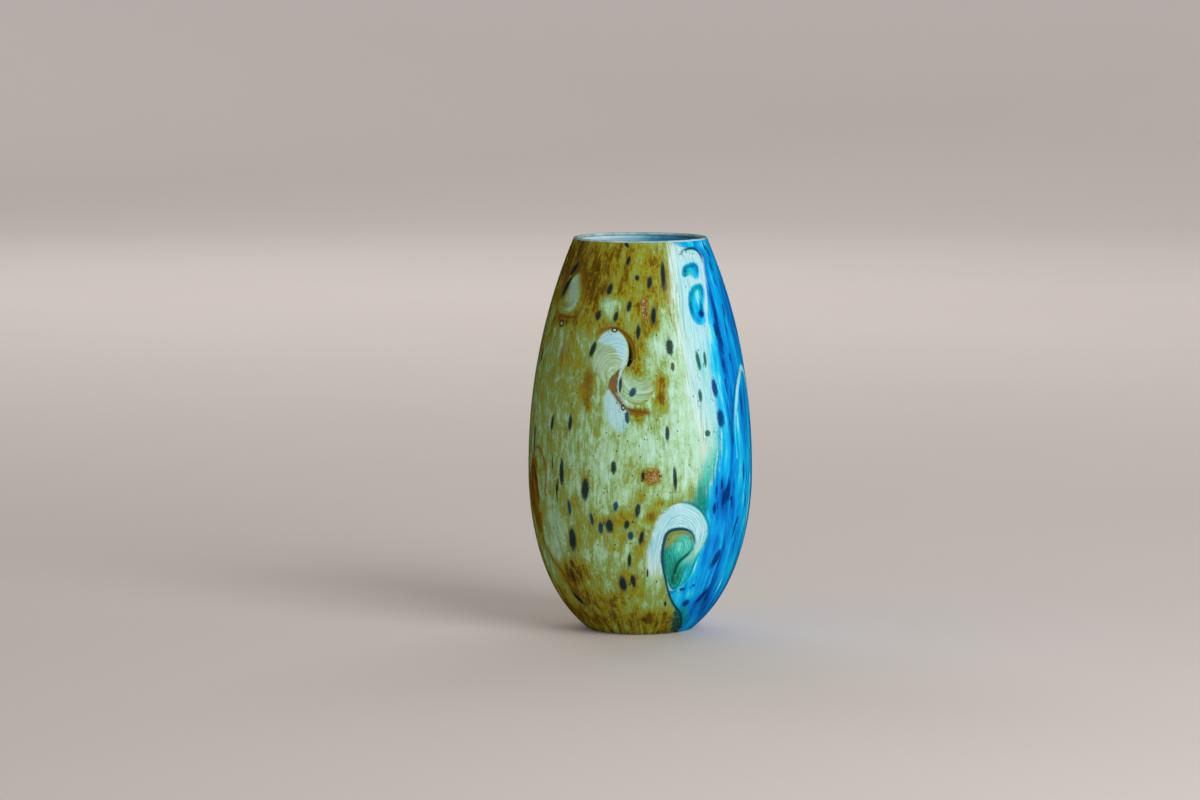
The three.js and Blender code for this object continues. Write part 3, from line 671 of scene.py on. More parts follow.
def lay(field, share, **values):
    """Mixes a piece's own values into the shared ones."""
    for key, value in values.items():
        field[key] = field[key] * (1 - share) + value * share


def put(field, **values):
    """Sets a piece's own values."""
    for key, value in values.items():
        field[key] = value + np.zeros(len(height))


def flow_by(across, start, along):
    """A piece's own streaks. Pieces with different starts have different ones."""
    return np.stack([across, np.full(len(height), float(start)), along], -1)


def paint():
    """The fields that all pieces share. Some pieces then change them for their own corners."""
    turn = np.radians(azimuth + 1.6 * np.sin(height / 41) + 0.8 * np.sin(height / 17 + azimuth / 9))
    flow = np.stack([FLOW_RADIUS * np.sin(turn), -FLOW_RADIUS * np.cos(turn), run_at(height)], -1)
    levels = [0, 12, 30, 50, 70, 90, 110, 130, 155, 180, 205, 230, 250, 270, 290, 310, 330, 350, 365, 380, 390]
    tones = [0.72, 0.7, 0.6, 0.54, 0.46, 0.4, 0.36, 0.32, 0.26, 0.23, 0.24, 0.26, 0.3, 0.32, 0.36, 0.46, 0.56, 0.64,
             0.7, 0.66, 0.56]
    ahead = turn_from(azimuth, 0)
    left = ease(-22, -48, ahead)
    middle = ease(80, 130, height) * ease(330, 290, height)
    amber = np.interp(height, levels, tones) + clouds(AMBER_CLOUDS, azimuth, height)
    # More amber on the left makes that side darker: partly the glass's own colour, partly painted shade on the side
    # away from the key light.
    amber += left * (0.07 + 0.1 * middle)
    amber -= 0.12 * ease(4, 24, ahead) * ease(100, 60, ahead) * ease(130, 160, height)
    blue = 0.5 + clouds(BLUE_CLOUDS, azimuth, height)
    blue -= 0.24 * bump(to_blue, 2, 8) * np.interp(height, [60, 130, 340, 370], [0, 1, 1, 0])
    softness = np.interp(height, [0, 40, 110, 135, 170, 220, 300, 330, 390], [1.2, 0.8, 0.8, 4, 9, 9, 8, 6, 5])
    side = to_blue / softness
    fringe = bump(to_blue, -2, 11) * np.interp(height, [118, 132, 180, 230, 270, 300], [0, 1, 0.85, 0.3, 0.3, 0])
    past_amber = across_from(edge_azimuth(AMBER_TO_PALE, height), azimuth, height)
    front_pale = ease(-15, 11, past_amber) * ease(9, -4, to_blue) * ease(-14, 12, height - PALE_TIP)
    pale = np.maximum(front_pale * (np.abs(ahead) < 90), ease(-10, 10, to_back_pale))
    pale *= np.interp(height, [0, 40, 70, 135, 165, 200, 240, 376, 390], [0, 0, 0.35, 0.35, 0.6, 0.9, 1.2, 1.2, 0.6])
    sky = clouds(SKY_CLOUDS, azimuth, height) + 0.5 * pale * ease(180, 260, height)
    sky += 0.6 * pale * ease(-16, 0, to_blue)
    speck = bump(height, 178, 45) * ease(40, 0, np.abs(ahead + 8)) + 0.25
    nought = np.zeros(len(height))
    field = {
        "flow": flow, "amber": amber, "blue": blue, "side": side, "pale": pale,
        "teal": clouds(TEAL_CLOUDS, azimuth, height) + fringe, "brown": clouds(BROWN_CLOUDS, azimuth, height),
        "sky": sky, "calm": nought, "rings": nought, "crystal": nought, "speck": speck,
        "shade": nought,
    }
    for places, softness, values in STAINS_AND_SHADE:
        out = outline(*places).measure(azimuth, height)[0]
        lay(field, ease(softness, -softness, out), **values)
    beside_hook = ease(4.5, 0, measured["hook_swirl"][0]) * ease(20, 27, ahead)
    lay(field, beside_hook * ease(132, 112, height), side=2.5, amber=0.1, blue=0.22)
    for name in ("shoulder_pocket_upper", "shoulder_pocket_lower"):
        lay(field, 0.8 * ease(3.4, -0.5, measured[name][0]), side=2, blue=0.2, pale=0.35, amber=0.05, sky=0.9)
    return field


NO_SPECKS = -1.0
LEFT_LEG_RUN = 245.0  # with this, streaks run on from the hook's left leg into the coat under it


def paint_hook(field, _):
    """White in the middle of the arch, amber at the foot of the left leg, blue down the right arm."""
    out, _, run, _ = measured["hook_swirl"]
    from_heart = measured["hook_swirl_heart"][0]
    ahead = turn_from(azimuth, 0)
    foot = ease(102, 50, height) * ease(19, 14, ahead)
    arm = ease(20, 30, ahead) * ease(114, 72, height)
    inside_arm = ease(15, 21, ahead) * ease(94, 62, height)
    left_edge = ease(-8, 0.5, out) * ease(24, 10, ahead)
    right_edge = ease(-6, 0, out) * ease(14, 28, ahead)
    whole = (1 - foot) * ease(38, 62, height)
    own = (whole * np.maximum(ease(0, -9, out), ease(12, 22, ahead)))[:, None]
    field["flow"] = shared["flow"] * (1 - own) + flow_by(4 - out, -FLOW_RADIUS, LEFT_LEG_RUN - run) * own
    lay(field, whole, pale=1.3 - 1.15 * left_edge, amber=0.12 + 0.42 * left_edge, brown=0)
    put(
        field, pale=field["pale"] * (1 - 0.95 * arm) * (1 - 0.3 * right_edge),
        teal=0.42 * arm + 0.5 * right_edge + 0.3 * ease(4.5, 0.5, from_heart) * whole,
        side=-3 + 5.5 * np.maximum(inside_arm, arm * ease(-9, 0, out)), blue=0.1 + 0.36 * ease(82, 50, height),
        sky=1.1 * whole * (1 - 0.9 * arm) * (1 - 0.6 * left_edge), calm=0.6 * whole * (1 - 0.5 * left_edge),
        rings=0.28 * whole, speck=NO_SPECKS * (1 - foot) + 0.4 * foot,
    )


def paint_heart(field, _):
    """Olive at the top, with a green lobe that curls round a dark comma."""
    lobe = outline(23, 105, 27.6, 101.8, 28.8, 93, 25.9, 85, 21, 82.6, 17.2, 87.6, 17.8, 97)
    lobe_out = lobe.measure(azimuth, height, 40)[0]
    out = measured["hook_swirl_heart"][0]
    comma_offset = trail(*COMMA_LINE).measure(azimuth, height, 40)[1]
    beyond = ease(-1.5, 2.5, comma_offset) * ease(93, 86, height)
    disc = ease(4.5, -4.5, lobe_out) * (1 - beyond)
    green = np.clip(0.34 + 0.7 * disc + 1.05 * ease(99, 84, height), 0, 1.25)
    put(
        field, amber=0.58 - 0.26 * disc, pale=0.04 + 0.5 * disc + 0.8 * beyond * ease(68, 88, height),
        teal=green * (1 - 0.45 * beyond * ease(66, 84, height)), side=-3 + 4.4 * beyond * ease(84, 58, height),
        blue=0.16 + 0.16 * ease(70, 52, height), brown=0.1 * ease(98, 106, height), sky=0.3 * disc + 0.9 * beyond,
        calm=0.5, speck=0.8 * (1 - disc), rings=0.3,
    )
    field["flow"] = flow_by(-out * 1.3, 360, height * 0.7)


def paint_dome(field, _):
    """Its arcs go round the tip of the brown wedge that is under it."""
    cap = outline(
        -24.4, 294, -21.6, 301, -15, 303.6, -9.6, 297, -8.4, 287, -9.4, 277, -12.4, 282, -14.4, 288.6, -18.6, 292,
    )
    white = ease(2.2, -2.6, cap.measure(azimuth, height)[0])
    body = ease(254, 272, height)
    x, y = away_from(-14.6, 262, azimuth, height)
    field["flow"] = flow_by(np.hypot(x, y * 0.82) * 1.3, 420, np.arctan2(x, y) * 9)
    lay(field, body, amber=0.31 - 0.16 * white, pale=0.34 + 0.9 * white, sky=0.3 + 0.85 * white, brown=0)
    put(field, calm=0.3 * body, rings=0.7 * body * (1 - 0.9 * white), speck=NO_SPECKS)


def paint_lobe(field, _):
    """Its arcs hang under a point above it."""
    out = measured["s_swirl_lobe"][0]
    x, y = away_from(0, 263, azimuth, height)
    field["flow"] = flow_by(np.hypot(x, y) * 1.3, 480, np.arctan2(x, -y) * 9)
    inward = ease(0, -4, out) * ease(266, 254, height)
    lay(field, inward, amber=0.29 + 0.12 * ease(-4, 4, azimuth), pale=0.24, brown=0, sky=0.4)
    put(field, calm=0.1 * inward, rings=0.36 * ease(262, 248, height), speck=NO_SPECKS)


def paint_shoulder(field, _):
    """A milky tongue with burnt amber round its upper half."""
    out = measured["left_shoulder_swirl"][0]
    across = turn_from(azimuth, -52) + (height - 338) * 0.25
    tongue = ease(14, 1, np.abs(across - 1)) * ease(0, -5, out)
    around = ease(328, 352, height) * (1 - tongue)
    amber = 0.52 - 0.2 * tongue + 0.26 * around
    lay(field, ease(0.5, -2, out), amber=amber, brown=0.2 + 0.6 * around - 0.2 * tongue, pale=0.24 * tongue)
    put(field, sky=0.5 * tongue, calm=0.3, rings=0.7 * (1 - 0.3 * tongue))
    field["flow"] = flow_by(-out * 1.2, 540, height * 0.8 + azimuth)


def paint_pocket(low, glow_place, glow_size, deep_place):
    """A window of deep blue with a milky glow in it, dark along its left and its top, faded below."""

    def change(field, name):
        out = measured[name][0]
        inward = ease(0.5, -2.6, out) * ease(low, low + 13, height)

        def spot(place, across, up):
            x = across_from(place[0], azimuth, height)
            return np.exp(-((x / across) ** 2) - ((height - place[1]) / up) ** 2)

        glow = spot(glow_place, *glow_size)
        deep = spot(deep_place, 3, 9)
        wall = bump(out, -2.6, 2.2) * ease(glow_place[0] + 7, glow_place[0] - 3, azimuth)
        top = bump(out, -2.8, 2.6) * ease(glow_place[1] - 5, glow_place[1] + 7, height)
        dark = np.maximum(wall, top)
        lay(field, inward, side=3, brown=0, sky=0, pale=0.62 * glow, blue=0.3 + 0.52 * dark + 0.44 * deep - 0.24 * glow)
        put(field, teal=0.85 * dark * inward + 0.4 * glow, calm=0.1)

    return change


def paint_patch(amber, brown):
    """Crushed frit with crystals in it."""

    def change(field, name):
        out = measured[name][0]
        inward = ease(0.5, -4, out)
        lay(field, inward, amber=amber, pale=0, sky=0, brown=brown)
        put(field, crystal=ease(-0.5, -3.4, out), calm=0.3 * inward)

    return change


def paint_trail(**values):
    """A trail's streaks run along it, and it holds the same glass all the way."""

    def change(field, name):
        _, offset, run, _ = measured[name]
        field["flow"] = flow_by(offset * 1.5, 600 + 40 * part_names.index(name), run * 0.8)
        put(field, **values)

    return change


def paint_vein(field, name):
    """Brown where it starts, and black where it is thick."""
    amber = 0.86 + 0.22 * ease(297, 286, height)
    paint_trail(pale=0, sky=0, teal=0, calm=0.7, amber=amber, brown=0.6 * ease(286, 298, height))(field, name)


def paint_right_hook(field, name):
    """Pale at the top, and faded into the blue below."""
    top = ease(184, 240, height)
    edge = ease(-1.6, 0, measured[name][0])
    pale = (0.3 + 0.75 * top) * (1 - 0.6 * edge)
    paint_trail(side=2, teal=0, brown=0, calm=0.2, pale=pale, blue=0.1 + 0.2 * edge, sky=0.8 * top)(field, name)


def paint_back_swirl(**values):
    """Opal drawn in a hook, thinner towards its edges and its ends."""

    def change(field, name):
        out, _, run, _ = measured[name]
        heart = ease(0, -3.4, out) * ease(0, 30, run) * ease(0, 30, SHAPES[name].length[-1] - run)
        opal = {"pale": 0.15 + 1.0 * heart, "sky": 0.2 + 0.7 * heart}
        paint_trail(brown=0, teal=0, calm=0.2, rings=1.0, **opal, **values)(field, name)

    return change


PAINTS = {
    "hook_swirl": paint_hook,
    "hook_swirl_heart": paint_heart,
    "s_swirl_dome": paint_dome,
    "s_swirl_lobe": paint_lobe,
    "left_shoulder_swirl": paint_shoulder,
    "shoulder_pocket_upper": paint_pocket(346, (39, 358), (6, 3.6), (33.5, 360)),
    "shoulder_pocket_lower": paint_pocket(308, (41, 336), (4, 9), (41.6, 322)),
    "brown_frit_patch": paint_patch(0.7, 0.12),
    "copper_frit_patch": paint_patch(0.6, 0.85),
    "s_swirl_vein": paint_vein,
    "left_belly_swirl": paint_trail(amber=0.9, brown=0.75, pale=0, sky=0),
    "right_belly_hook": paint_right_hook,
    "back_amber_swirl": paint_back_swirl(amber=0.2, side=-3),
    "back_blue_swirl": paint_back_swirl(blue=0.15, side=2),
}

VEIN_REACH = 5.0  # millimetres: further from a line, its strength is nought


def veins(paths):
    """The nearest drawn line at each corner: the offset to its left, its strength and its half width."""
    offset, second = np.full((2, len(height)), FAR)
    strength, half = np.zeros(len(height)), np.ones(len(height))
    for places in paths:
        shape = trail(*places)
        out, left, run, past = shape.measure(azimuth, height)
        away = np.abs(left)
        width = 2 * (away - out)
        ends = ease(0, 9, run) * ease(0, 9, shape.length[-1] - run)
        closer = away < np.abs(offset)
        second = np.where(closer, np.abs(offset), np.minimum(second, away))
        offset[closer] = left[closer]
        strength[closer] = (ends * ease(VEIN_REACH, VEIN_REACH - 1.5, away) * (past < 1))[closer]
        half[closer] = width[closer] / 2
    strength *= ease(0, 2, second - np.abs(offset))  # so that no line shows where the nearest one changes
    return np.stack([offset, strength, half], -1)


def chip_field():
    """The nearest chip or mark at each corner: where in it, and its kind."""
    best, second = np.full((2, len(height)), 99.0)
    place = np.full((len(height), 3), 9.0)
    place[:, 2] = FRIT
    large = [(chip, NAVY if chip[0] > NAVY_FROM else FRIT) for chip in CHIPS]
    for mark, kind in large + [(mark, kind) for kind, marks in MARKS.items() for mark in marks]:
        across, along = chip_coordinates(mark, azimuth, height)
        near = np.hypot(across, along)
        closer = near < best
        second = np.where(closer, best, np.minimum(second, near))
        best[closer] = near[closer]
        gap = (near - 1) * mark[2] / 2
        exact = (near < 2.6) | (gap < 3.5)
        values = np.stack([np.where(exact, across, 9), np.where(exact, along, 9), np.full(len(near), kind)], -1)
        place[closer] = values[closer]
    unclear = (second - best < 0.5) & (best > 1.05)
    place[unclear, :2] = 9
    return place


umber = veins(UMBER_VEINS)
ink = veins(INK_VEINS)
comma = veins([COMMA_LINE])
light = veins(PALE_VEINS)
chips = chip_field()
shared = paint()

# ---- Shading nodes ----


def srgb(r, g, b):
    """A colour given as it looks on screen, from 0 to 255, as Blender's linear one."""
    linear = [c / 255 / 12.92 if c <= 10 else ((c / 255 + 0.055) / 1.055) ** 2.4 for c in (r, g, b)]
    return (*linear, 1)


GLOSS = {"Roughness": 0.24, "Specular IOR Level": 0.3, "Coat Weight": 0.35, "Coat Roughness": 0.07, "Coat IOR": 1.5}


class Value:
    """A node's output, with plain arithmetic and the nodes that are fed by it alone."""

    def __init__(self, nodes, socket):
        self.nodes, self.socket = nodes, socket

    def math(self, operation, *others, clamp=False):
        return self.nodes.add("ShaderNodeMath", (self, *others), operation=operation, use_clamp=clamp)

    def __add__(self, other):
        return self.math("ADD", other)

    def __sub__(self, other):
        return self.math("SUBTRACT", other)

    def __rsub__(self, other):
        return self.math("MULTIPLY_ADD", -1.0, other)

    def __mul__(self, other):
        return self.math("MULTIPLY", other)

    def swing(self, reach):
        """Noise from nought to one, as a swing either way of nought."""
        return self.math("MULTIPLY_ADD", 2 * reach, -reach)

    def step(self, low, high, to_low=0.0, to_high=1.0):
        given = (self, low, high, to_low, to_high)
        return self.nodes.add("ShaderNodeMapRange", given, interpolation_type="SMOOTHSTEP")

    def ramp(self, stops, interpolation="LINEAR"):
        value = self.nodes.add("ShaderNodeValToRGB", (self,))
        ramp = value.socket.node.color_ramp
        ramp.interpolation = interpolation
        while len(ramp.elements) < len(stops):
            ramp.elements.new(0.5)
        for element, (position, colour) in zip(ramp.elements, stops):
            element.position = position
            element.color = srgb(*colour)
        return value

    def split(self):
        first = self.nodes.add("ShaderNodeSeparateXYZ", (self,))
        return [Value(self.nodes, socket) for socket in first.socket.node.outputs]

    def scaled(self, x, y, z):
        return self.nodes.add("ShaderNodeVectorMath", (self, (x, y, z)), operation="MULTIPLY")

    def noise(self, size, stretch=1.0, detail=3.0, roughness=0.55, warp=0.0):
        """Noise whose blobs are about `size` millimetres, drawn out along the flow."""
        given = {"Vector": self.scaled(1, 1, 1 / stretch), "Scale": 1 / size, "Detail": detail, "Roughness": roughness,
                 "Distortion": warp}
        return self.nodes.add("ShaderNodeTexNoise", given, "Fac")

    def cells(self, size):
        """How far the nearest of many scattered points is, and that point's own chance, from nought to one."""
        away = self.nodes.add("ShaderNodeTexVoronoi", {"Vector": self, "Scale": 1 / size}, "Distance", feature="F1")
        return away, Value(self.nodes, away.socket.node.outputs["Color"]).split()[0]

    def bump(self, strength, distance):
        return self.nodes.add("ShaderNodeBump", {"Strength": strength, "Distance": distance, "Height": self})


class Nodes:
    """A material's shading nodes."""

    def __init__(self, name):
        self.material = bpy.data.materials.new(name)
        self.material.use_nodes = True
        self.tree = self.material.node_tree
        self.shader = self.tree.nodes["Principled BSDF"]

    def feed(self, node, given):
        """Gives a node's inputs, by place or by name, a constant or another node's value."""
        for key, value in given.items() if isinstance(given, dict) else enumerate(given):
            if isinstance(value, Value):
                self.tree.links.new(value.socket, node.inputs[key])
            elif value is not None:
                node.inputs[key].default_value = value

    def add(self, kind, given=(), output=0, **settings):
        node = self.tree.nodes.new(kind)
        for key, value in settings.items():
            setattr(node, key, value)
        self.feed(node, given)
        return Value(self, node.outputs[output])

    def mix(self, factor, *colours):
        a, b = (srgb(*c) if isinstance(c, tuple) else c for c in colours)
        return self.add("ShaderNodeMix", {0: factor, 6: a, 7: b}, 2, data_type="RGBA")

    def field(self, name):
        return self.add("ShaderNodeAttribute", output="Vector", attribute_name=name)

    def place(self):
        return self.add("ShaderNodeTexCoord", output="Object")

    def finish(self, colour, normal=None, constants=GLOSS):
        self.feed(self.shader, {"Base Color": colour, "Normal": normal, **constants})
        return self.material


AMBER_GLASS = [
    (0.0, (196, 242, 222)), (0.14, (182, 228, 190)), (0.28, (168, 212, 154)), (0.42, (142, 172, 92)),
    (0.55, (152, 162, 48)), (0.68, (154, 143, 18)), (0.82, (124, 98, 6)), (0.94, (74, 50, 4)), (1.0, (14, 16, 14)),
]
BLUE_GLASS = [
    (0.0, (168, 246, 255)), (0.14, (50, 220, 255)), (0.3, (0, 194, 255)), (0.52, (0, 156, 240)),
    (0.72, (0, 116, 214)), (0.88, (4, 74, 160)), (1.0, (6, 32, 84)),
]
TEAL_GLASS = [(0.38, (2, 98, 84)), (0.52, (8, 150, 134)), (0.66, (44, 200, 184)), (0.84, (146, 236, 222))]
BURNT_GLASS = [(0.36, (74, 38, 4)), (0.5, (120, 70, 6)), (0.64, (160, 108, 14))]
CRYSTALS = [
    (0.0, (88, 60, 14)), (0.35, (150, 104, 30)), (0.66, (166, 124, 74)), (0.86, (190, 160, 128)),
    (0.97, (236, 224, 204)),
]
# A chip's colours at its rim and at its heart, by its kind.
CHIP_LOOKS = {
    FRIT: ((38, 82, 78), (6, 34, 46)), NAVY: ((2, 104, 190), (4, 50, 124)), GREEN: ((44, 150, 124), (6, 96, 84)),
    BUBBLE: ((58, 46, 24), (58, 46, 24)), UMBER: ((104, 84, 34), (78, 62, 36)), DUSK: ((60, 124, 124), (12, 62, 88)),
}
# Drawn lines: the field, the line's colour and its share, and the stain beside it with its reach.
LINES = [
    ("light_vein", (196, 238, 240), 0.8, None, 0.0), ("umber_vein", (82, 50, 8), 0.62, (146, 106, 16), 4.6),
    ("ink_vein", (6, 66, 84), 0.9, (10, 140, 160), 3.2), ("comma_vein", (10, 78, 62), 0.9, (24, 130, 96), 4.5),
]


def blown_glass(name):
    """Coloured glass with streaks, mottling, veins and chips, as its corners' fields say."""
    n = Nodes(name)
    flow = n.field("flow")
    amber, blue, side = n.field("tone").split()
    pale, teal, brown = n.field("veil").split()
    sky, calm, rings = n.field("tint").split()
    crystal, speckled, shade = n.field("grit_and_shade").split()

    lively = calm * -0.8 + 1.0
    blotch = flow.noise(8, 1.7, 4, 0.62, 0.6)
    curd = flow.noise(3.0, 1.3, 4, 0.66, 0.5)
    streak = flow.noise(1.7, 16, 4, 0.6, 0.2)
    wide_streak = flow.noise(6.5, 11, 4, 0.6, 0.4)
    grain = flow.noise(0.9, 1.8, 2, 0.6)
    fold = flow.noise(14, 2.2, 3, 0.55, 1.2)

    # Amber: mottled where it is dense, streaked where it is thin.
    dense = amber.step(0.34, 0.62)
    texture = (
        blotch.swing(0.5) * (dense * 0.3 + 0.7) + curd.swing(0.4) * (dense * 0.6 + 0.35)
        + streak.swing(0.34) * (dense * -0.35 + 0.85) + wide_streak.swing(0.28) + grain.swing(0.15) + fold.swing(0.4)
    ).math("MINIMUM", 0.24)
    phase = curd.swing(1.0) * 2.4 + flow.split()[0] * 2.3
    ring = phase.math("SINE") * (rings * 0.11)
    amber_tone = (amber + texture * lively + ring).math("MINIMUM", amber.math("MAXIMUM", 0.88))
    hairline = flow.noise(1.1, 30, 2, 0.5, 0.3).step(0.56, 0.74) * (lively * 0.3)
    colour = n.mix(hairline, amber_tone.ramp(AMBER_GLASS), (182, 212, 116))

    # Opal: milky, with faint strands, bluer where there is sky in it.
    strand = streak.swing(0.9) * lively
    band = wide_streak.swing(0.9) * lively
    milky = n.mix((streak + ring * 1.2).step(0.34, 0.62), (170, 214, 170), (238, 255, 248))
    icy = n.mix((streak + ring * 2.6).step(0.3, 0.66), (142, 218, 234), (202, 248, 255))
    opal = n.mix(sky.math("MULTIPLY", 0.85, clamp=True), milky, icy)
    loose = (strand + band + ring) * pale.step(0.0, 0.4, 0.3, 1.0)
    colour = n.mix((pale + loose).step(0.16, 0.8), colour, opal)
    colour = n.mix((sky + strand * 0.6 + blotch.swing(0.4)).step(0.2, 1.0) * 0.8, colour, icy)

    # Blue: long streaks between cyan and deep blue.
    blue_tone = (
        blue + wide_streak.swing(0.46) + streak.swing(0.22) * lively + blotch.swing(0.14)
        + flow.noise(11, 7, 3, 0.55, 0.8).swing(0.6)
    )
    # Glints: thin bright cyan strokes in the blue, painted highlights standing in for caustics.
    glint = flow.noise(2.2, 14, 3, 0.6, 0.4).step(0.58, 0.74) * blue_tone.step(0.62, 0.4, 0.0, 0.45)
    blue_colour = n.mix(glint, blue_tone.ramp(BLUE_GLASS), (70, 226, 255))
    white_share = (pale + streak.swing(0.8) + wide_streak.swing(0.6)).step(0.5, 1.05) * 0.85
    blue_colour = n.mix(white_share, blue_colour, (190, 244, 255))
    ragged = side + (streak.swing(2.4) + wide_streak.swing(2.0) + curd.swing(1.0)) * lively
    blue_share = ragged.step(-1.0, 1.0)
    colour = n.mix(blue_share, colour, blue_colour)

    # Teal where the blue has bled into the amber, brown where the amber has burnt, and painted shade under the hook.
    teal_share = (teal + streak.swing(1.0) * lively + curd.swing(0.35)).step(0.1, 1.05)
    teal_colour = ((curd + streak) * 0.5 + pale * 0.34).ramp(TEAL_GLASS)
    colour = n.mix(teal_share * 0.97, colour, teal_colour)
    brown_share = (brown + curd.swing(0.4) + streak.swing(0.25)).step(0.12, 0.95)
    colour = n.mix(brown_share * 0.85, colour, (fold * 0.5 + curd * 0.5).ramp(BURNT_GLASS))
    shadow = (shade + curd.swing(0.9) + grain.swing(0.6)).step(0.25, 0.8)
    colour = n.mix(shadow * 0.9, colour, (14, 50, 40))

    for line, line_colour, share, stain, stain_reach in LINES:
        offset, strength, half = n.field(line).split()
        away = (offset + curd.swing(0.9)).math("ABSOLUTE")
        if stain:
            colour = n.mix(away.step(stain_reach, 0.0) * strength * 0.7, colour, stain)
        colour = n.mix((away - half).step(0.5, -0.5) * strength * share, colour, line_colour)

    crystals = flow.cells(1.2)[1].ramp(CRYSTALS)
    colour = n.mix((crystal + curd.swing(0.6)).step(0.35, 0.85) * 0.7, colour, crystals)

    # Chips and marks of frit, soft-edged under the gloss.
    across, along, kind = n.field("chip").split()
    reach = (across * across + along * along).math("SQRT")
    ragged_reach = reach + curd.swing(0.5) + grain.swing(0.3)
    is_bubble = kind.step(2.5, 2.6) * kind.step(3.5, 3.4)
    kinds = len(CHIP_LOOKS)
    place = kind.math("DIVIDE", kinds)
    rim, heart = (
        place.ramp([(max(0, (k - 0.5) / kinds), pair[end]) for k, pair in CHIP_LOOKS.items()], "CONSTANT")
        for end in (0, 1)
    )
    halo = reach.step(2.2, 1.0) * kind.step(0.5, 0.4) * amber.step(0.3, 0.5)
    colour = n.mix(halo * 0.34, colour, (136, 110, 24))
    plain = ragged_reach.step(1.34, 0.84) * (1.0 - is_bubble)
    colour = n.mix(plain * 0.93, colour, n.mix(ragged_reach.step(1.15, 0.6), rim, heart))
    bubble_wall = reach.step(0.4, 0.58) * reach.step(1.12, 0.96) * is_bubble
    colour = n.mix(bubble_wall * 0.92, colour, (46, 34, 18))
    # The light middle of a bubble is a painted highlight.
    colour = n.mix(reach.step(0.56, 0.3) * is_bubble * 0.85, colour, (196, 206, 190))

    # Pinhead specks.
    away, chance = flow.scaled(1, 1, 0.7).cells(4.6)
    speck = away.step(0.19, 0.09) * (chance + speckled * 0.36).step(0.8, 0.85) * (blue_share * -0.9 + 0.9)
    colour = n.mix(speck, colour, (58, 44, 10))

    skin_height = blotch * 0.5 + wide_streak * 0.35 + plain * 0.25
    return n.finish(colour, skin_height.bump(0.1, 0.0006))


coat_glass = blown_glass("blown_glass")

# ---- Pieces ----


def make_piece(node, points, faces, loop_normals, material):
    """A mesh that stands for a CAD node."""
    mesh = bpy.data.meshes.new(f"glass_{node}")
    mesh.from_pydata(points.tolist(), [], faces)
    mesh.validate()
    mesh.shade_smooth()
    if loop_normals is not None:
        mesh.normals_split_custom_set(loop_normals.tolist())
    mesh.materials.append(material)
    piece = bpy.data.objects.new(f"glass_{node}", mesh)
    bpy.context.scene.collection.objects.link(piece)
    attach(piece, "root")
    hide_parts(node)
    return piece


# The fields that share an attribute.
FIELD_GROUPS = {
    "tone": ("amber", "blue", "side"), "veil": ("pale", "teal", "brown"), "tint": ("sky", "calm", "rings"),
    "grit_and_shade": ("crystal", "speck", "shade"),
}
NO_VEIN = (FAR, 0.0, 1.0)


def skin_piece(name, order):
    """One piece of the skin, closed at the back and round its edges."""
    faces = [skin.faces[i] for i in np.flatnonzero(owner_of_face == order)]
    used = np.unique(np.concatenate([np.array(f) for f in faces]))
    local = {int(v): i for i, v in enumerate(used)}
    count = len(used)
    front = [tuple(local[v] for v in f) for f in faces]
    edges = dict.fromkeys((i, j) for face in front for i, j in zip(face, face[1:] + face[:1]))
    back = [tuple(i + count for i in reversed(face)) for face in front]
    sides = [(j, i, i + count, j + count) for i, j in edges if (j, i) not in edges]
    points = np.vstack([outer[used], inner[used]])
    outward = np.vstack([normals[used], -normals[used]])
    loops = [outward[i] for face in front + back for i in face]
    for a, b, c, _ in sides:
        flat = np.cross(points[b] - points[a], points[c] - points[b])
        loops += [flat / max(np.linalg.norm(flat), 1e-12)] * 4
    piece = make_piece(name, points, front + back + sides, np.array(loops), coat_glass)
    own = painted(name)
    fields = {group: np.stack([own[key] for key in keys], -1) for group, keys in FIELD_GROUPS.items()}
    fields |= {"flow": own["flow"], "umber_vein": umber, "ink_vein": ink, "light_vein": light, "chip": chips}
    fields["comma_vein"] = comma if name == "hook_swirl_heart" else np.tile(NO_VEIN, (len(height), 1))
    for key, values in fields.items():
        attribute = piece.data.attributes.new(key, "FLOAT_VECTOR", "POINT")
        attribute.data.foreach_set("vector", np.tile(values[used], (2, 1)).astype(np.float32).ravel())


def painted(name):
    """The fields as one piece has them."""
    field = dict(shared)
    if name in PAINTS:
        PAINTS[name](field, name)
    return field


for order, name in enumerate(part_names):
    skin_piece(name, order)


# ---- Lathe-turned pieces: lining, core and lip ----


def offset_line(depth, low, high, steps):
    """The wall's line at a depth under the outside, between two heights."""
    heights = np.linspace(low, high, steps)
    out, up = outward_at(heights)
    return np.stack([radius_at(heights) - out * depth, heights - up * depth], -1)


def level_line(depth, low, high, steps):
    """The same, cut level at both heights."""
    dense = offset_line(depth, 0, HEIGHT, 900)
    heights = np.linspace(low, high, steps)
    return np.stack([np.interp(heights, dense[:, 1], dense[:, 0]), heights], -1)


def bowl_line(depth, floor, top, corner_run=9, corner_rise=6):
    """From the axis out over a floor, round a corner and up the wall."""
    wall = level_line(depth, floor + corner_rise, top, 90)
    corner = level_line(depth, floor, floor + 1, 2)[0]
    start = np.array([corner[0] - corner_run, floor])
    t = np.linspace(0, 1, 12)[:, None]
    bend = (1 - t) ** 2 * start + 2 * t * (1 - t) * corner + t**2 * wall[0]
    flat = np.stack([np.linspace(0, start[0], 14)[:-1], np.full(13, floor)], -1)
    return np.vstack([flat, bend, wall[1:]])


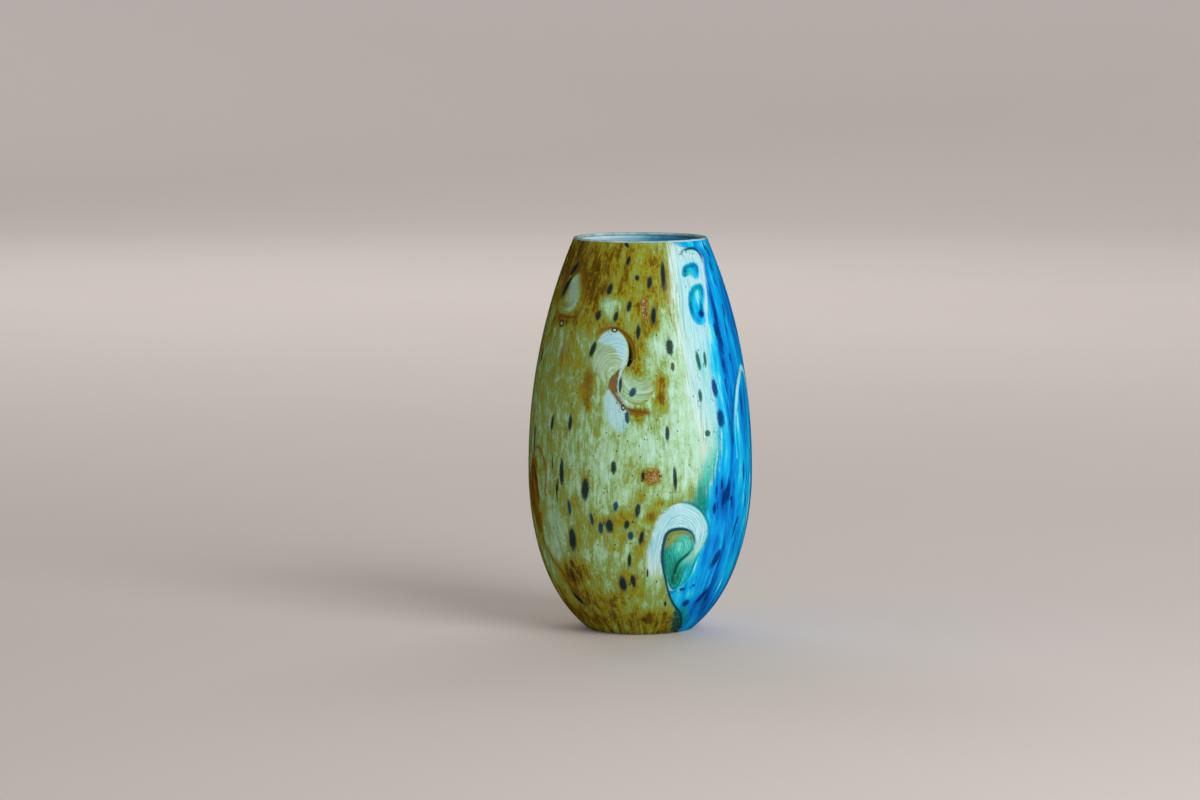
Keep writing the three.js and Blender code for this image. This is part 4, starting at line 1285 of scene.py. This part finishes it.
def lathe(line, turns, wave=0.0):
    """The points and faces of a line turned about the axis. It is closed unless it starts on the axis,
    and its points there become one vertex each."""
    angle = np.arange(turns) * 2 * math.pi / turns
    points, rings = [], []
    for r, z in line:
        if r < 1e-6:
            rings.append([len(points)] * turns)
            points.append((0, 0, z))
            continue
        rings.append(list(range(len(points), len(points) + turns)))
        swell = r + wave * np.sin(3 * angle + z)
        points += [(s * math.sin(a), -s * math.cos(a), z) for a, s in zip(angle, swell)]
    if line[0][0] > 1e-6:
        rings.append(rings[0])
    beside = [*range(1, turns), 0]
    quads = [
        (low[i], low[j], high[j], high[i]) for low, high in zip(rings, rings[1:]) for i, j in enumerate(beside)
    ]
    faces = [tuple(dict.fromkeys(quad)) for quad in quads]
    return np.array(points), [face for face in faces if len(face) > 2]


def turned(node, line, material, turns=144, wave=0.0):
    points, faces = lathe(line, turns, wave)
    return make_piece(node, points * MM, faces, None, material)


def opal_glass():
    """Pale blue opal, clouded, lighter on the left of the mouth than on the right."""
    n = Nodes("opal_lining_glass")
    place = n.place()
    x, _, z = place.split()
    place = place.scaled(1000, 1000, 1000)
    cloud = place.noise(26, 1.6, 4, 0.6)
    shift = x.step(-0.06, 0.065) + cloud.swing(0.3) + place.noise(5, 9, 3, 0.6).swing(0.16)
    colour = shift.ramp([
        (0.0, (214, 246, 255)), (0.45, (160, 224, 246)), (0.8, (84, 176, 218)), (1.0, (46, 136, 186)),
    ])
    deep = z.step(0.12, 0.36, 0.5, 0.0)
    return n.finish(n.mix(deep, colour, (96, 170, 200)), cloud.bump(0.08, 0.0006))


def clear_glass():
    """Thick clear glass over the opal lining, faintly green, clouded, with seed bubbles."""
    n = Nodes("clear_core_glass")
    place = n.place().scaled(1000, 1000, 1000)
    seed = place.cells(7)[0].step(0.09, 0.05)
    colour = n.mix(place.noise(18, 1, 4, 0.55).step(0.3, 0.7), (150, 190, 186), (196, 222, 216))
    return n.finish(n.mix(seed * 0.6, colour, (236, 246, 244)), place.noise(0.4, 1, 2, 0.5).bump(0.1, 0.0002))


def rim_glass():
    """The lip: opal drawn thin and fire-polished, a pale line with bluer and clearer stretches."""
    n = Nodes("rim_lip_glass")
    cloud = n.place().scaled(1000, 1000, 1000).noise(11, 1, 4, 0.6)
    colour = cloud.ramp([(0.3, (120, 176, 186)), (0.5, (170, 208, 208)), (0.68, (206, 230, 226))])
    return n.finish(colour, cloud.bump(0.1, 0.0005))


lining_top = HEIGHT - 2.4
lining = np.vstack([
    bowl_line(LINING_DEPTH, CORE_FLOOR + 0.3, lining_top),
    bowl_line(WALL, CAVITY_FLOOR, lining_top)[::-1],
])
turned("opal_lining", lining, opal_glass(), wave=0.15)

recess_turn = np.linspace(0, 1, 16)[:, None]
recess = (
    (1 - recess_turn) ** 2 * np.array([0, RECESS_DEPTH])
    + 2 * recess_turn * (1 - recess_turn) * np.array([RECESS_RADIUS / 2, RECESS_DEPTH])
    + recess_turn**2 * np.array([RECESS_RADIUS, 0.0])
)
core_top = HEIGHT - 2.6
core_outer = level_line(CORE_DEPTH, 0.5, core_top, 100)
foot_edge = core_outer[0][0]
foot = np.array([[foot_edge - 1.2, 0.0], [foot_edge - 0.5, 0.05], [foot_edge - 0.1, 0.25]])
core = np.vstack([recess, foot, core_outer, bowl_line(CORE_DEPTH + 1.3, CORE_FLOOR, core_top)[::-1]])
turned("clear_core", core, clear_glass())

lip_base = SKIN_TOP
lip_outer = radius_at(lip_base)
lip_inner = level_line(WALL, lip_base, HEIGHT, 2)[0][0]
lip_middle = (lip_outer + lip_inner) / 2
lip_turn = np.linspace(0, math.pi, 15)
lip_round = np.stack([
    lip_middle + (lip_outer - lip_middle) * np.cos(lip_turn),
    lip_base + (HEIGHT - lip_base) * np.sin(lip_turn),
], -1)
lip_under = lip_base - 1.2
lip = np.vstack([[[lip_outer, lip_base - 0.1]], lip_round, [[lip_inner, lip_under], [lip_outer - 0.9, lip_under]]])
turned("rim_lip", lip, rim_glass(), turns=216)

# ---- Stage: a pale floor that curves up all round, soft lights and the camera ----

FLOOR_RADIUS = 6.0
FLOOR_RISE = 3.5
FLOOR_TURNS = 96


def make_floor():
    bend = np.linspace(0, math.pi / 2, 13)
    line = [(0.0, 0.0), (1.0, 0.0), (3.0, 0.0)]
    line += [(FLOOR_RADIUS + FLOOR_RISE * math.sin(b), FLOOR_RISE * (1 - math.cos(b))) for b in bend]
    points, faces = lathe(line, FLOOR_TURNS)
    mesh = bpy.data.meshes.new("floor")
    mesh.from_pydata(points.tolist(), [], [face[::-1] for face in faces])
    mesh.shade_smooth()
    n = Nodes("floor_paper")
    place = n.place()
    x, y, _ = place.split()
    away = (x * x + y * y).math("SQRT")
    near = n.mix(place.noise(0.6, 1, 3, 0.5), (226, 217, 211), (231, 222, 217))
    colour = n.mix(away.step(4.5, 8.0), near, (248, 238, 233))
    glow = {"Emission Color": (1.0, 0.93, 0.9, 1), "Emission Strength": away.step(3.5, 7.5, 0.02, 0.2)}
    mesh.materials.append(n.finish(colour, None, {"Roughness": 0.9, **glow}))
    floor = bpy.data.objects.new("floor", mesh)
    floor.visible_glossy = False
    bpy.context.scene.collection.objects.link(floor)


make_floor()


def area_light(name, place, aim, width, tall, power, colour):
    data = bpy.data.lights.new(name, "AREA")
    data.shape = "RECTANGLE"
    data.size = width
    data.size_y = tall
    data.energy = power
    data.color = colour
    light = bpy.data.objects.new(name, data)
    light.location = place
    light.rotation_euler = (Vector(aim) - Vector(place)).to_track_quat("-Z", "Y").to_euler()
    bpy.context.scene.collection.objects.link(light)
    return light


vase_middle = (0, 0, HEIGHT / 2 * MM)
for soft_light in (
    ("key", (1.95, -2.4, 1.6), vase_middle, 2.1, 2.5, 78, (0.99, 0.995, 0.985)),
    ("fill", (-2.8, -1.6, 1.0), vase_middle, 2.4, 2.4, 1.5, (0.95, 0.97, 1.0)),
    ("back", (1.8, 4.2, 3.4), vase_middle, 3.6, 2.4, 62, (1.0, 0.98, 0.96)),
    ("back_left", (-1.6, 4.6, 3.0), vase_middle, 3.6, 2.4, 62, (1.0, 0.99, 0.97)),
):
    area_light(*soft_light).visible_glossy = False
# The sheen is seen only as a reflection in the gloss.
area_light("sheen", (1.75, -1.8, 0.7), vase_middle, 0.5, 2.2, 4, (1.0, 1.0, 1.0)).visible_diffuse = False

world = bpy.data.worlds.new("studio")
world.use_nodes = True
world.node_tree.nodes["Background"].inputs["Color"].default_value = (0.96, 0.95, 0.94, 1)
world.node_tree.nodes["Background"].inputs["Strength"].default_value = 0.17
world.cycles_visibility.glossy = False
bpy.context.scene.world = world

CAMERA_AWAY = 4.6
CAMERA_HEIGHT = 0.707
CAMERA_ASIDE = -0.0399
AIM_HEIGHT = 0.2275
LENS = 139.86

camera_data = bpy.data.cameras.new("camera")
camera_data.lens = LENS
camera_data.sensor_width = 36
camera_data.clip_end = 100
camera = bpy.data.objects.new("camera", camera_data)
camera.location = (CAMERA_ASIDE, -CAMERA_AWAY, CAMERA_HEIGHT)
camera.rotation_euler = Vector((0, CAMERA_AWAY, AIM_HEIGHT - CAMERA_HEIGHT)).to_track_quat("-Z", "Y").to_euler()
bpy.context.scene.collection.objects.link(camera)
bpy.context.scene.camera = camera
bpy.context.scene.view_settings.view_transform = "Standard"
